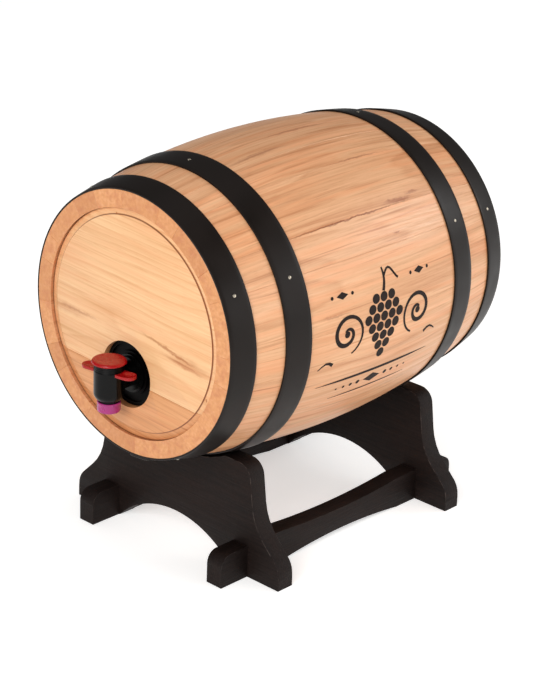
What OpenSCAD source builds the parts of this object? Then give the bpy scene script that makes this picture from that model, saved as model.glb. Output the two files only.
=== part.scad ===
// Wooden cask cover for a bag of wine, lying on a knock-down stand, with the bag's press tap in front.
// The origin is on the floor, under the middle of the object. Y runs from the tapped head to the rear lid.

/* [Cask] */
// Length of the staves, end to end
cask_length = 360; // [340:1:400]
// Radius of the wood at both ends
head_r = 120; // [116:0.5:126]
// How much wider the belly is than the ends
bulge = 21; // [14:0.5:26]
// Thickness of a stave
stave_t = 15.5; // [13:0.5:17]
// Number of staves
stave_count = 20; // [16:1:24]
// How unequal the staves are, as a share of their mean width
stave_spread = 0.34; // [0:0.02:0.5]
// Angle of the first stave joint above the right-hand side
stave_start_angle = 39.8; // [0:0.1:60]
// Gap between neighbouring staves
joint_gap = 0.08; // [0.04:0.02:0.3]
// Height of the cask's axis above the floor
axis_height = 230; // [222:1:250]

/* [Hoops] */
// Thickness of the steel strip
hoop_t = 1.6; // [1:0.1:2.4]
// Width of the hoops at the two ends
end_hoop_w = 25; // [18:0.5:30]
// Width of the two inner hoops
inner_hoop_w = 27.5; // [20:0.5:30]
// From the front end to the front inner hoop
front_hoop_inset = 55.5; // [50:0.5:62]
// From the rear end to the rear inner hoop
rear_hoop_inset = 58; // [50:0.5:62]
// Clearance between a hoop and the wood
hoop_seat = 0.1; // [0.05:0.05:0.2]
// Where an end hoop's ends overlap, as an angle round the cask
end_lap_angle = 282; // [276:1:288]
// Where an inner hoop's ends overlap
inner_lap_angle = 186; // [170:1:200]
// Length of that overlap
lap_length = 24; // [18:1:34]
// Radius of a rivet head on the overlap
rivet_r = 2.6; // [2:0.1:3.5]
// Angle of each hoop's right-hand nail above the horizontal
nail_angle = 27; // [26.5:0.5:34]
// Turn from nail to nail in an end hoop
end_nail_turn = 94; // [90:1:94]
// Turn from nail to nail in an inner hoop
inner_nail_turn = 64; // [60:1:65]
// Radius of a nail's head
nail_head_r = 1.5; // [1.2:0.1:2]
// How far a nail's head stands out of the hoop
nail_proud = 0.2; // [0.1:0.05:0.25]
// Radius of a nail's shank
nail_shank_r = 0.8; // [0.6:0.1:1.1]
// How far a nail goes into the wood
nail_depth = 11; // [6:1:12]

/* [Heads] */
// Depth of the front head's face behind the ends of the staves
head_recess = 1.9; // [1:0.1:4]
// Thickness of the front head
head_t = 11; // [10:0.5:14]
// Width of the end of the cask round the raised field
field_margin = 22.4; // [20:0.2:28]
// Step down at the edge of the field
field_step = 1.1; // [0.6:0.1:2]
// Further fall of the bevel from the step to the rim
bevel_fall = 1.5; // [0.5:0.1:2.5]
// From the front end to the groove that holds the front head
croze_inset = 6; // [5.8:0.1:8]
// Width of a head groove
croze_w = 5; // [3:0.5:6]
// Depth of a head groove below the mouth of the cask
croze_depth = 5; // [4:0.5:6]
// Clearance between a head and its groove
croze_gap = 0.15; // [0.1:0.05:0.3]
// Clearance between a head's rim and the staves
rim_gap = 0.35; // [0.2:0.05:0.6]
// Height of the front head's board joint below the axis
seam_drop = 53; // [45:1:60]
// Slope of that joint, down to the right
seam_tilt = 3.3; // [0:0.1:8]
// Gap at a board joint
board_gap = 0.4; // [0.2:0.1:0.8]
// Radius of the hole for the tap
tap_hole_r = 30.5; // [29:0.5:32]
// How far the tap's axis lies below the cask's axis
tap_drop = 48.8; // [45:0.2:52]
// How far the tap's axis lies to the right of the cask's axis
tap_side = -7; // [-10:0.5:6]

/* [Rear lid] */
// Thickness of the lid's boards
lid_t = 9; // [8:0.5:12]
// Depth of the lid's face behind the ends of the staves
lid_recess = 2; // [1:0.1:4]
// Clearance between the lid and the mouth of the cask
lid_gap = 0.4; // [0.2:0.05:0.6]
// Height of the lid's board joint above the axis
lid_seam_rise = 8; // [-10:1:16]
// Radius of the finger hole
finger_r = 14; // [12:0.5:17]
// Height of the finger hole above the axis
finger_rise = 52; // [46:1:58]
// Thickness of the ring that stops the lid
frame_t = 8.7; // [8:0.1:12]
// How far the ring reaches in from the mouth of the cask
frame_reach = 16.5; // [14:0.5:17.5]
// Distance between the lid and the ring
lid_rest = 0.3; // [0.2:0.05:0.5]
// Distance of each batten from the middle of the lid
batten_side = 45; // [38:1:46]
// Width of a batten
batten_w = 22; // [16:1:24]
// Distance of a batten's corners from the ring
batten_gap = 6; // [3:0.5:12]
// Thickness of a batten
batten_t = 8; // [6:0.5:10]
// Radius of a batten screw's head
screw_head_r = 3.5; // [3:0.1:4]
// Distance of each screw from the end of its batten
screw_inset = 16; // [10:1:22]
// Radius of the lid's magnets
magnet_r = 4; // [3:0.5:5]
// Thickness of a magnet
magnet_t = 3; // [2:0.5:4]
// Distance of the magnets' middles from the mouth of the cask
magnet_inset = 8.5; // [6.5:0.5:9.5]

/* [Tap] */
// From the ends of the staves to the tap's upright axis
tap_stand_off = 18.3; // [17.5:0.1:22]
// Radius of the tap's upright body
tap_r = 13.6; // [12.6:0.1:14]
// Top of the body above the tap's level axis
tap_top = 10.6; // [10:0.1:12]
// Lower end of the nozzle below the tap's level axis
nozzle_end = 22; // [20.5:0.1:23]
// Radius of the nozzle
nozzle_r = 9.1; // [8.6:0.1:9.6]
// Length of the straight nozzle
nozzle_l = 3.5; // [2.6:0.1:3.5]
// Height of the rounded shoulder above the nozzle
shoulder_h = 8; // [5:0.1:9]
// Radius of the outlet
outlet_r = 7.4; // [7.2:0.1:7.6]
// Radius of the hole through the valve seat
seat_r = 5.2; // [4.5:0.1:5.6]
// Depth of the valve seat's lower face below the tap's level axis
seat_drop = 11; // [10.5:0.1:11.5]
// Thickness of the valve seat
seat_t = 2; // [1.5:0.1:2.5]
// Radius of the chamber inside the body
chamber_r = 9.6; // [9:0.1:10]
// Radius of the level spigot
spigot_r = 11.2; // [10.5:0.1:11.4]
// Radius of the bore through the spigot
spigot_bore_r = 8; // [7:0.1:8.5]
// How far the spigot reaches behind the ends of the staves
spigot_reach = 20; // [17:0.5:21]
// Height of each retaining rib on the spigot
rib_h = 0.4; // [0.2:0.1:0.45]
// Radius of the tap's flange
flange_r = 15.5; // [14:0.5:18]
// Thickness of the tap's flange
flange_t = 2.4; // [2:0.1:3]
// Radius of the press button
button_r = 15.5; // [15:0.1:17]
// Thickness of the press button
button_t = 2.6; // [2:0.1:3.2]
// Rounding of the press button's top edge
button_round = 2; // [0.5:0.1:2.4]
// Depth of the hollow in the button's top
button_dish = 0.5; // [0.2:0.1:0.8]
// Top of the press button above the tap's level axis
button_top = 20.1; // [19.5:0.1:21.5]
// How far the press button travels
press_travel = 4; // [3:0.1:4]
// Radius of the button's hub
hub_r = 4; // [3.5:0.1:5]
// Radius of the valve stem
stem_r = 2.5; // [2:0.1:3]
// Running clearance of the stem in its guide
stem_gap = 0.08; // [0.02:0.01:0.1]
// Wall of the rubber boot
boot_t = 1.2; // [0.8:0.1:1.6]
// Radius of the rubber valve disc
seal_r = 6.6; // [6.2:0.1:6.8]
// Thickness of the rubber valve disc
seal_t = 2.6; // [2:0.1:3]
// Thickness of the stem's foot under the valve disc
foot_t = 1; // [0.8:0.1:1.3]
// Reach of each finger wing from the tap's upright axis
wing_reach = 28; // [26:0.5:34]
// Turn of the finger wings from square to the spigot
wing_turn_angle = 10; // [0:1:14]
// Width of a finger wing
wing_w = 14; // [12:0.5:15]
// Thickness of the finger wings
wing_t = 2.8; // [2.4:0.1:2.8]
// Depth of the hollow in each wing
wing_dish = 1.6; // [0.6:0.1:1.8]
// Width of the rim round that hollow
wing_rim = 0.8; // [0.6:0.1:1.2]
// Radius of the pull-off nozzle cap
cap_r = 10.5; // [10.4:0.1:12]
// Height of the nozzle cap
cap_h = 9.5; // [8:0.1:12]
// Thickness of the nozzle cap's floor
cap_floor = 1.2; // [0.8:0.1:1.6]
// Clearance between the cap and the nozzle
cap_gap = 0.1; // [0.05:0.01:0.1]
// Gap between the cap's rim and the body's shoulder
cap_lift = 0.4; // [0.3:0.1:0.8]
// General clearance between the small plastic parts
snug = 0.1; // [0.05:0.01:0.15]

/* [Collar and bag] */
// Depth of the collar's face behind the ends of the staves
collar_face = 8; // [7:0.1:9]
// Radius of the collar's hub
collar_hub_r = 20; // [18.5:0.5:22]
// Width of the collar's raised rim
collar_rim_w = 3.3; // [2:0.1:4]
// Depth of the well between hub and rim
collar_well = 2; // [1:0.1:2.4]
// Radius of the collar's flange behind the head
collar_flange_r = 38; // [35:0.5:42]
// Thickness of that flange
collar_flange_t = 2.5; // [2:0.1:3]
// Wall of the bag's spout
spout_wall = 2.3; // [1.8:0.1:2.6]
// Radius of the spout's front lip
spout_lip_r = 17.5; // [17:0.5:18]
// Thickness of the spout's front lip
spout_lip_t = 2; // [1.5:0.1:2.4]
// Radius of the spout's flange that the film is welded to
spout_flange_r = 24; // [20:0.5:26]
// Thickness of that flange
spout_flange_t = 1.8; // [1.4:0.1:2.4]
// Clearance between the bag and what holds it
bag_gap = 2; // [1:0.1:4]
// Top of the filled bag below the axis
bag_drop = 15; // [10:1:22]
// From the rear ring to the bag
bag_rear_gap = 12; // [6:1:30]

/* [Stand] */
// Thickness of a cradle
cradle_t = 18; // [15:0.5:20]
// From the front end of the cask to the front cradle
front_cradle_inset = 58.4; // [56:0.2:64]
// From the rear end of the cask to the rear cradle
rear_cradle_inset = 51.8; // [45:0.2:60]
// Half width of a cradle at the floor
foot_x = 131; // [124:0.5:138]
// Half width of a cradle at its shoulders
shoulder_x = 91.4; // [88:0.2:95]
// Half width of the hollow that the cask lies in
saddle_half_w = 61.4; // [56:0.2:66]
// Rounding of the shoulders
shoulder_round = 14.5; // [6:0.5:16]
// Lean of a cradle's upper sides from upright
side_lean_angle = 7.5; // [4:0.1:12]
// Lean of a cradle's lower sides from upright
foot_lean_angle = 45; // [40:0.5:52]
// Height where the lower side meets the end of the foot
foot_top = 20.6; // [19:0.2:26]
// Rounding at the end of the foot
foot_round = 20; // [10:1:24]
// Rounding of the hollow in each side
waist_round = 53; // [20:1:60]
// Half width of the arch at the floor
arch_x = 74; // [70:0.5:74]
// Height of the arch
arch_h = 31.7; // [24:0.1:36]
// Clearance between the hoops and the cradles
saddle_gap = 0.3; // [0.2:0.05:0.5]
// Distance of each rail from the middle
rail_x = 83.8; // [83.4:0.1:88]
// Thickness of a rail
rail_t = 18; // [14:0.5:18.5]
// How far a rail sticks out past the cradles
rail_reach = 33; // [26:0.5:34]
// Height of a rail
rail_h = 30.5; // [28:0.5:38]
// Rounding of a rail's ends
rail_round = 11; // [6:0.5:14]
// Dip of a rail's top edge
rail_dip = 4; // [1:0.5:6]
// Rise of a rail's bottom edge
rail_rise = 5.5; // [2:0.5:8]
// Length of the dip and of the rise
rail_waist_l = 160; // [120:5:190]
// Height at which rail and cradle are halved into each other
halving_h = 16; // [12:0.5:20]
// Clearance in the halved joints
halving_gap = 0.15; // [0.1:0.05:0.3]

/* [Hidden] */
$fn = 96;
// Curves of the wood: one arc bends every stave
belly_r = head_r + bulge;
bend_r = (pow(cask_length / 2, 2) + bulge * bulge) / (2 * bulge);
mouth_r = head_r - stave_t;
field_r = head_r - field_margin;
croze_r = mouth_r + croze_depth;
// Radius of the staves' outer and inner faces at a distance from the front end
function outer_r(y) = belly_r - bend_r + sqrt(bend_r * bend_r - pow(y - cask_length / 2, 2));
function inner_r(y) = belly_r - bend_r + sqrt(pow(bend_r - stave_t, 2) - pow(y - cask_length / 2, 2));

// The object's middle in Y lies between the button and the rear ends of the staves
front_y = (tap_stand_off + button_r - cask_length) / 2;
far = 2 * cask_length;

// Radius of the arc, or the sphere, with a given half chord and depth
function arc_r(half_chord, depth) = (half_chord * half_chord + depth * depth) / (2 * depth);

// Staves: widths wander round the mean, and the angles run up to a full turn
golden_turn = 137.5;
full_turn = 360;
stave_shares = [for (i = [1:stave_count]) 1 + stave_spread * sin(i * golden_turn)];
function share_sum(i) = i == 0 ? 0 : stave_shares[i - 1] + share_sum(i - 1);
function stave_edge(i) = stave_start_angle + full_turn * share_sum(i) / share_sum(stave_count);
joint_angle = joint_gap / head_r * 180 / PI;

// Hoops: distance from the front end, width, angle of a nail, turn to the next, and angle of the lap
end_set = [end_hoop_w, nail_angle - end_nail_turn, end_nail_turn, end_lap_angle];
inner_set = [inner_hoop_w, nail_angle, inner_nail_turn, inner_lap_angle];
hoops = [
    concat(0, end_set),
    concat(front_hoop_inset, inner_set),
    concat(cask_length - rear_hoop_inset - inner_hoop_w, inner_set),
    concat(cask_length - end_hoop_w, end_set),
];
nail_count = 4;
hoop_out = hoop_seat + hoop_t;
lap_turn = lap_length / head_r * 180 / PI;
rivet_h = 0.8;
function hoop_mid(hoop) = hoop[0] + hoop[1] / 2;
function nail_angles(hoop) = [for (i = [0:nail_count - 1]) hoop[2] + i * hoop[3]];
nail_gap = 0.05;

// Front head, from its face to its back
head_back = head_recess + head_t;
bevel_y = head_recess + field_step + bevel_fall;
tongue_front = croze_inset + croze_gap;
tongue_back = croze_inset + croze_w - croze_gap;
tongue_r = croze_r - croze_gap;
rim_r = inner_r(bevel_y) - rim_gap;
back_rim_r = inner_r(tongue_back) - rim_gap - 1;

// Rear ring and lid, from the front end of the cask
lid_face = cask_length - lid_recess;
lid_back = lid_face - lid_t;
lid_r = inner_r(cask_length) - lid_gap;
frame_back = lid_back - lid_rest;
frame_front = frame_back - frame_t;
rear_croze = frame_back - (frame_t - croze_w) / 2 - croze_w;
frame_rim_r = inner_r(frame_back) - rim_gap;
frame_opening_r = mouth_r - frame_reach;
magnet_ring_r = mouth_r - magnet_inset;
batten_edge = batten_side + batten_w / 2;
batten_l = 2 * sqrt(pow(frame_opening_r - batten_gap, 2) - batten_edge * batten_edge);
pocket_gap = 0.1;
screw_l = batten_t + lid_t / 2;
screw_r = screw_head_r / 2;
screw_sink = 2;

// Tap: heights above its level axis
button_under = button_top - button_t;
boot_top = button_under - snug;
boot_bottom = tap_top + snug;
wing_top = tap_top;
wing_bottom = wing_top - wing_t;
guide_r = chamber_r + 1.4;
hub_bottom = wing_top + press_travel + 0.3;
seat_top = -seat_drop + seat_t;
seal_top = -seat_drop - snug;
seal_bottom = seal_top - seal_t;
stem_bottom = seal_bottom - foot_t;
stem_top = button_under + 0.5;
nozzle_top = -nozzle_end + nozzle_l;
cap_bottom = nozzle_top - cap_lift - cap_h;
cap_inner_r = nozzle_r + cap_gap;
wing_tip_r = wing_w / 2;
dish_edge_r = wing_tip_r - wing_rim;
dish_r = arc_r(dish_edge_r, wing_dish);
button_dish_r = arc_r(button_r - button_round, button_dish);
rib_count = 3;
rib_pitch = 4;

// Collar and spout
collar_r = tap_hole_r - 0.2;
spout_in_r = spigot_r + rib_h + snug;
spout_out_r = spout_in_r + spout_wall;
collar_bore_r = spout_out_r + snug;
collar_back = head_back + snug + collar_flange_t;
spout_front = collar_face - snug - spout_lip_t;
flange_front = spout_front - snug - flange_t;
spout_back = spigot_reach + 2;
bag_front = spout_back + 0.3;
bag_rear = frame_front - bag_rear_gap;
bag_steps = 8;
bag_stations = [for (i = [0:bag_steps]) bag_front + (bag_rear - bag_front) * i / bag_steps];

// Stand
front_cradle_y = front_cradle_inset;
rear_cradle_y = cask_length - rear_cradle_inset - cradle_t;
front_saddle_r = outer_r(front_cradle_y + cradle_t) + hoop_out + saddle_gap;
rear_saddle_r = outer_r(rear_cradle_y) + hoop_out + saddle_gap;
shoulder_z = axis_height - sqrt(front_saddle_r * front_saddle_r - saddle_half_w * saddle_half_w);
arch_r = arc_r(arch_x, arch_h);
// The arcs that round the boards' corners cross the straight edges by this much
arc_over = 0.01;
bay_mid = (front_cradle_y + cradle_t + rear_cradle_y) / 2;
dip_r = arc_r(rail_waist_l / 2, rail_dip);
rise_r = arc_r(rail_waist_l / 2, rail_rise);

function two_digits(i) = i < 10 ? str("0", i) : str(i);
STAVES = [for (i = [1:stave_count]) str("stave_", two_digits(i))];
HOOPS = ["hoop_front_end", "hoop_front_inner", "hoop_rear_inner", "hoop_rear_end"];
NAILS = ["nails_front_end", "nails_front_inner", "nails_rear_inner", "nails_rear_end"];

// Moves its children from the front end of the cask's axis to their place above the floor
module on_cask() {
    translate([0, front_y, axis_height]) children();
}

// Turns a profile drawn as (radius, distance from the front end) round the cask's axis
module turned(profile_angle = 360) {
    rotate([-90, 0, 0]) rotate_extrude(angle = profile_angle, $fn = 180) children();
}

// The same round the tap's level axis
module turned_at_tap() {
    translate([tap_side, 0, -tap_drop]) turned() children();
}

// Puts its children at the tap's upright axis, level with the spigot
module at_tap() {
    on_cask() translate([tap_side, -tap_stand_off, -tap_drop]) children();
}

// Points its children outwards from the wood at an angle round the cask
module on_wood(angle, y) {
    rotate([0, -angle, 0]) translate([outer_r(y), y, 0]) rotate([0, 90, 0]) children();
}

// The disc whose edge is one of the cask's long arcs, as a profile
module bend_disc(offset_r) {
    translate([belly_r - bend_r, cask_length / 2]) circle(r = bend_r + offset_r, $fn = 360);
}

// A band of that profile between two distances from the front end
module bend_band(inside, outside, from_y, to_y) {
    intersection() {
        difference() {
            bend_disc(outside);
            bend_disc(inside);
        }
        translate([mouth_r / 2, from_y]) square([far, to_y - from_y]);
    }
}

// The sliver between two straight edges and the arc that joins them, reaching a little past the corner
module corner_sliver(corner, along_a, along_b, radius) {
    opening = acos(along_a * along_b);
    reach = radius / tan(opening / 2);
    middle = (along_a + along_b) / norm(along_a + along_b);
    difference() {
        polygon([corner - middle, corner + along_a * reach, corner + along_b * reach]);
        translate(corner + middle * radius / sin(opening / 2)) circle(r = radius + arc_over);
    }
}

module nail_shanks(hoop, radius, depth) {
    for (angle = nail_angles(hoop))
        on_wood(angle, hoop_mid(hoop)) translate([0, 0, -depth]) cylinder(r = radius, h = depth + hoop_out);
}

// Heads of a hoop's nails, or with more room the flat seats that they sit on
module nail_heads(hoop, radius, from_z, height) {
    for (angle = nail_angles(hoop))
        on_wood(angle, hoop_mid(hoop)) translate([0, 0, from_z]) cylinder(r = radius, h = height);
}

module stave(i) {
    from_angle = stave_edge(i - 1) + joint_angle / 2;
    to_angle = stave_edge(i) - joint_angle / 2;
    color(i % 3 == 0 ? "burlywood" : i % 3 == 1 ? "tan" : "wheat") on_cask() difference() {
        rotate([0, -to_angle, 0]) rotate([0, 180, 0]) mirror([1, 0, 0]) mirror([0, 0, 1])
            turned(to_angle - from_angle) difference() {
                bend_band(-stave_t, 0, 0, cask_length);
                translate([0, croze_inset]) square([croze_r, croze_w]);
                translate([0, rear_croze]) square([croze_r, croze_w]);
            }
        for (hoop = hoops)
            nail_shanks(hoop, nail_shank_r + nail_gap, nail_depth + nail_gap);
    }
}

// A steel strip bent round the wood, its ends lapped and riveted
module hoop(band) {
    y_mid = hoop_mid(band);
    color([0.06, 0.06, 0.06]) on_cask() {
        difference() {
            turned() bend_band(hoop_seat, hoop_out, band[0], band[0] + band[1]);
            nail_shanks(band, nail_shank_r + nail_gap, nail_depth);
            nail_heads(band, nail_head_r + nail_gap, hoop_out - nail_gap, hoop_t);
        }
        rotate([0, -band[4], 0])
            turned(lap_turn) bend_band(hoop_out - hoop_t / 2, hoop_out + hoop_t, band[0], band[0] + band[1]);
        for (side = [-1, 1])
            on_wood(band[4] - lap_turn / 2, y_mid + side * band[1] / 4)
                translate([0, 0, hoop_out]) cylinder(r = rivet_r, h = hoop_t + rivet_h);
    }
}

module nails(band) {
    color("silver") on_cask() {
        nail_shanks(band, nail_shank_r, nail_depth);
        nail_heads(band, nail_head_r, hoop_out, nail_proud);
    }
}

// Half of a board disc, above or below a sloping joint
module board_half(upper, seam_z, tilt) {
    intersection() {
        children();
        translate([0, 0, seam_z]) rotate([0, tilt, 0]) mirror([0, 0, upper ? 0 : 1])
            translate([-far / 2, -far / 2, board_gap / 2]) cube([far, 2 * far, far]);
    }
}

// The front head: raised field, step, bevel and the tongue that sits in the croze
module front_head_disc() {
    difference() {
        turned() polygon([
            [0, head_recess], [field_r, head_recess], [field_r, head_recess + field_step],
            [rim_r, bevel_y], [rim_r, tongue_front], [tongue_r, tongue_front], [tongue_r, tongue_back],
            [back_rim_r, tongue_back], [back_rim_r, head_back], [0, head_back],
        ]);
        turned_at_tap() square([tap_hole_r, cask_length]);
    }
}

module front_head_upper() {
    color("navajowhite") on_cask() board_half(true, -seam_drop, seam_tilt) front_head_disc();
}

module front_head_lower() {
    color("sandybrown") on_cask() board_half(false, -seam_drop, seam_tilt) front_head_disc();
}

// Plastic ring in the tap hole, put in from inside, that the bag's spout clips into
module tap_collar() {
    rim_in_r = collar_r - collar_rim_w;
    color([0.05, 0.05, 0.05]) on_cask() turned_at_tap() polygon([
        [collar_bore_r, collar_face], [collar_hub_r, collar_face], [collar_hub_r, collar_face + collar_well],
        [rim_in_r, collar_face + collar_well], [rim_in_r, collar_face], [collar_r, collar_face],
        [collar_r, head_back + snug], [collar_flange_r, head_back + snug], [collar_flange_r, collar_back],
        [collar_bore_r, collar_back],
    ]);
}

module bag_spout() {
    color([0.1, 0.1, 0.1]) on_cask() turned_at_tap() polygon([
        [spout_in_r, spout_front], [spout_lip_r, spout_front], [spout_lip_r, spout_front + spout_lip_t],
        [spout_out_r, spout_front + spout_lip_t], [spout_out_r, spout_back - spout_flange_t],
        [spout_flange_r, spout_back - spout_flange_t], [spout_flange_r, spout_back], [spout_in_r, spout_back],
    ]);
}

// The filled bag, lying on the lower staves
module wine_bag() {
    color("lightgray") on_cask() intersection() {
        turned() polygon(concat(
            [[0, bag_front]], [for (y = bag_stations) [inner_r(y) - bag_gap, y]], [[0, bag_rear]]
        ));
        translate([-far / 2, 0, -bag_drop - far]) cube([far, far, far]);
    }
}

// Upright body with the valve seat and nozzle, and the level spigot that plugs into the spout
module tap_body() {
    color([0.04, 0.04, 0.04]) at_tap() difference() {
        union() {
            rotate_extrude() union() {
                translate([0, nozzle_top + shoulder_h]) square([tap_r, tap_top - nozzle_top - shoulder_h]);
                translate([0, -nozzle_end]) square([nozzle_r, nozzle_end]);
                intersection() {
                    translate([tap_r - shoulder_h, nozzle_top + shoulder_h]) circle(r = shoulder_h);
                    translate([0, nozzle_top]) square([tap_r, 2 * shoulder_h]);
                }
                translate([0, nozzle_top]) square([tap_r - shoulder_h, shoulder_h]);
            }
            rotate([-90, 0, 0]) {
                cylinder(r = spigot_r, h = tap_stand_off + spigot_reach);
                translate([0, 0, tap_stand_off + flange_front]) cylinder(r = flange_r, h = flange_t);
                for (i = [1:rib_count])
                    translate([0, 0, tap_stand_off + spigot_reach - i * rib_pitch])
                        cylinder(r = spigot_r + rib_h, h = rib_pitch / 3);
            }
        }
        translate([0, 0, seat_top]) cylinder(r = chamber_r, h = far);
        translate([0, 0, -far]) cylinder(r = outlet_r, h = far - seat_drop);
        translate([0, 0, -far]) cylinder(r = seat_r, h = 2 * far);
        rotate([-90, 0, 0]) cylinder(r = spigot_bore_r, h = far);
        translate([0, 0, tap_top]) cylinder(r = tap_r + snug, h = far);
        translate([0, 0, wing_bottom - snug]) {
            cylinder(r = guide_r + snug, h = far);
            rotate([0, 0, wing_turn_angle])
                translate([-far / 2, -wing_w / 2 - snug, 0]) cube([far, wing_w + 2 * snug, far]);
        }
    }
}

// Finger wings and the stem's guide disc, one moulding that drops into slots in the body
module finger_wings() {
    tip_x = wing_reach - wing_tip_r;
    color("crimson") at_tap() rotate([0, 0, wing_turn_angle]) translate([0, 0, wing_bottom]) difference() {
        union() {
            cylinder(r = guide_r, h = wing_t);
            translate([-tip_x, -wing_tip_r, 0]) cube([2 * tip_x, wing_w, wing_t]);
            for (side = [-1, 1])
                translate([side * tip_x, 0, 0]) cylinder(r = wing_tip_r, h = wing_t);
        }
        translate([0, 0, -1]) cylinder(r = stem_r + stem_gap, h = wing_t + 2);
        for (side = [-1, 1])
            translate([side * tip_x, 0, wing_t - wing_dish + dish_r]) sphere(r = dish_r);
    }
}

// Round button with a hub that holds the stem
module press_button() {
    color("crimson") at_tap() difference() {
        union() {
            translate([0, 0, button_under]) rotate_extrude() difference() {
                intersection() {
                    square([button_r, button_t]);
                    union() {
                        square([button_r - button_round, button_t]);
                        square([button_r, button_t - button_round]);
                        translate([button_r - button_round, button_t - button_round]) circle(r = button_round);
                    }
                }
                translate([0, button_t - button_dish + button_dish_r]) circle(r = button_dish_r, $fn = 1440);
            }
            translate([0, 0, hub_bottom]) cylinder(r = hub_r, h = button_under - hub_bottom);
        }
        translate([0, 0, hub_bottom - 1]) cylinder(r = stem_r + snug, h = stem_top + snug - hub_bottom + 1);
    }
}

// Rubber boot between body and button, which seals the stem and springs the button back
module button_boot() {
    color([0.05, 0.05, 0.05]) at_tap() rotate_extrude() difference() {
        translate([hub_r + snug, boot_bottom]) square([tap_r - hub_r - snug, boot_top - boot_bottom]);
        translate([0, boot_bottom - 1]) square([tap_r - boot_t, boot_top - boot_bottom + 1 - boot_t]);
    }
}

// Stem with a foot that holds the valve disc against the seat from below
module valve_stem() {
    color("white") at_tap() {
        translate([0, 0, stem_bottom]) cylinder(r = stem_r, h = stem_top - stem_bottom);
        translate([0, 0, stem_bottom]) cylinder(r = seat_r - 0.5, h = foot_t);
    }
}

module valve_seal() {
    color([0.15, 0.15, 0.15]) at_tap() translate([0, 0, seal_bottom + snug / 2]) difference() {
        cylinder(r = seal_r, h = seal_t - snug / 2);
        translate([0, 0, -1]) cylinder(r = stem_r + snug / 2, h = seal_t + 2);
    }
}

module nozzle_cap() {
    color("mediumvioletred") at_tap() translate([0, 0, cap_bottom]) difference() {
        cylinder(r = cap_r, h = cap_h);
        translate([0, 0, cap_floor]) cylinder(r = cap_inner_r, h = far);
    }
}

// Fixed ring in the rear groove that the lid stops against
module rear_ring() {
    color("burlywood") on_cask() difference() {
        turned() polygon([
            [frame_opening_r, frame_front], [frame_rim_r, frame_front], [frame_rim_r, rear_croze + croze_gap],
            [tongue_r, rear_croze + croze_gap], [tongue_r, rear_croze + croze_w - croze_gap],
            [frame_rim_r, rear_croze + croze_w - croze_gap], [frame_rim_r, frame_back],
            [frame_opening_r, frame_back],
        ]);
        magnet_discs(frame_back - magnet_t - pocket_gap, magnet_r + pocket_gap, far);
    }
}

module magnet_discs(y, radius, depth) {
    for (angle = [45:90:315])
        rotate([0, -angle, 0]) translate([magnet_ring_r, y, 0])
            rotate([-90, 0, 0]) cylinder(r = radius, h = depth);
}

// The lid: raised field, step and bevel, with the finger hole and the magnets' pockets
module lid_disc() {
    difference() {
        turned() polygon([
            [0, lid_face], [field_r, lid_face], [field_r, lid_face - field_step],
            [lid_r, lid_face - field_step - bevel_fall], [lid_r, lid_back], [0, lid_back],
        ]);
        translate([0, 0, finger_rise]) turned() square([finger_r, far]);
        translate([0, -far, 0]) magnet_discs(lid_back, magnet_r + pocket_gap, far + magnet_t + pocket_gap);
        screws(screw_r + snug, screw_l + snug);
    }
}

module lid_upper() {
    color("tan") on_cask() board_half(true, lid_seam_rise, 0) lid_disc();
}

module lid_lower() {
    color("burlywood") on_cask() board_half(false, lid_seam_rise, 0) lid_disc();
}

// Screw shanks and heads, driven from inside through the battens into the lid
module screws(radius, length) {
    for (x = [-batten_side, batten_side])
        for (z = [-1, 1])
            translate([x, lid_back - batten_t, z * (batten_l / 2 - screw_inset)]) rotate([-90, 0, 0]) {
                cylinder(r = radius, h = length);
                cylinder(r1 = screw_head_r + radius - screw_r, r2 = radius, h = screw_sink);
            }
}

module lid_battens() {
    color("peru") on_cask() difference() {
        for (x = [-batten_side, batten_side])
            translate([x - batten_w / 2, lid_back - batten_t, -batten_l / 2])
                cube([batten_w, batten_t, batten_l]);
        screws(screw_r + snug, screw_l + snug);
    }
}

module batten_screws() {
    color("silver") on_cask() screws(screw_r, screw_l);
}

module lid_magnets() {
    color("gray") on_cask() magnet_discs(lid_back, magnet_r, magnet_t);
}

module ring_magnets() {
    color("gray") on_cask() magnet_discs(frame_back - magnet_t, magnet_r, magnet_t);
}

// Outline of a cradle, floor at zero: shoulders, leaning sides, feet, arch and saddle
module cradle_outline(saddle_r) {
    side = [sin(side_lean_angle), -cos(side_lean_angle)];
    slope = [sin(foot_lean_angle), -cos(foot_lean_angle)];
    foot_corner = [foot_x, foot_top];
    shoulder = [shoulder_x, shoulder_z];
    // The upper side and the foot's slope meet at the waist
    to_foot = foot_corner - shoulder;
    run = (to_foot[0] * slope[1] - to_foot[1] * slope[0]) / (side[0] * slope[1] - side[1] * slope[0]);
    waist = shoulder + side * run;
    difference() {
        for (half = [0, 1]) mirror([half, 0]) {
            difference() {
                polygon([[0, 0], [0, shoulder_z], shoulder, waist, foot_corner, [foot_x, 0]]);
                corner_sliver(shoulder, [-1, 0], side, shoulder_round);
                corner_sliver(foot_corner, -slope, [0, -1], foot_round);
            }
            corner_sliver(waist, -side, slope, waist_round);
        }
        translate([0, axis_height]) circle(r = saddle_r, $fn = 360);
        translate([0, arch_h - arch_r]) circle(r = arch_r, $fn = 180);
    }
}

// A cradle, with its slots for the rails cut from below
module cradle(y, saddle_r) {
    slot_w = rail_t + 2 * halving_gap;
    color([0.08, 0.07, 0.07]) translate([0, front_y + y + cradle_t, 0]) rotate([90, 0, 0]) difference() {
        linear_extrude(cradle_t) cradle_outline(saddle_r);
        for (x = [-rail_x, rail_x])
            translate([x - slot_w / 2, -1, -1]) cube([slot_w, halving_h + halving_gap + 1, cradle_t + 2]);
    }
}

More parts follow.
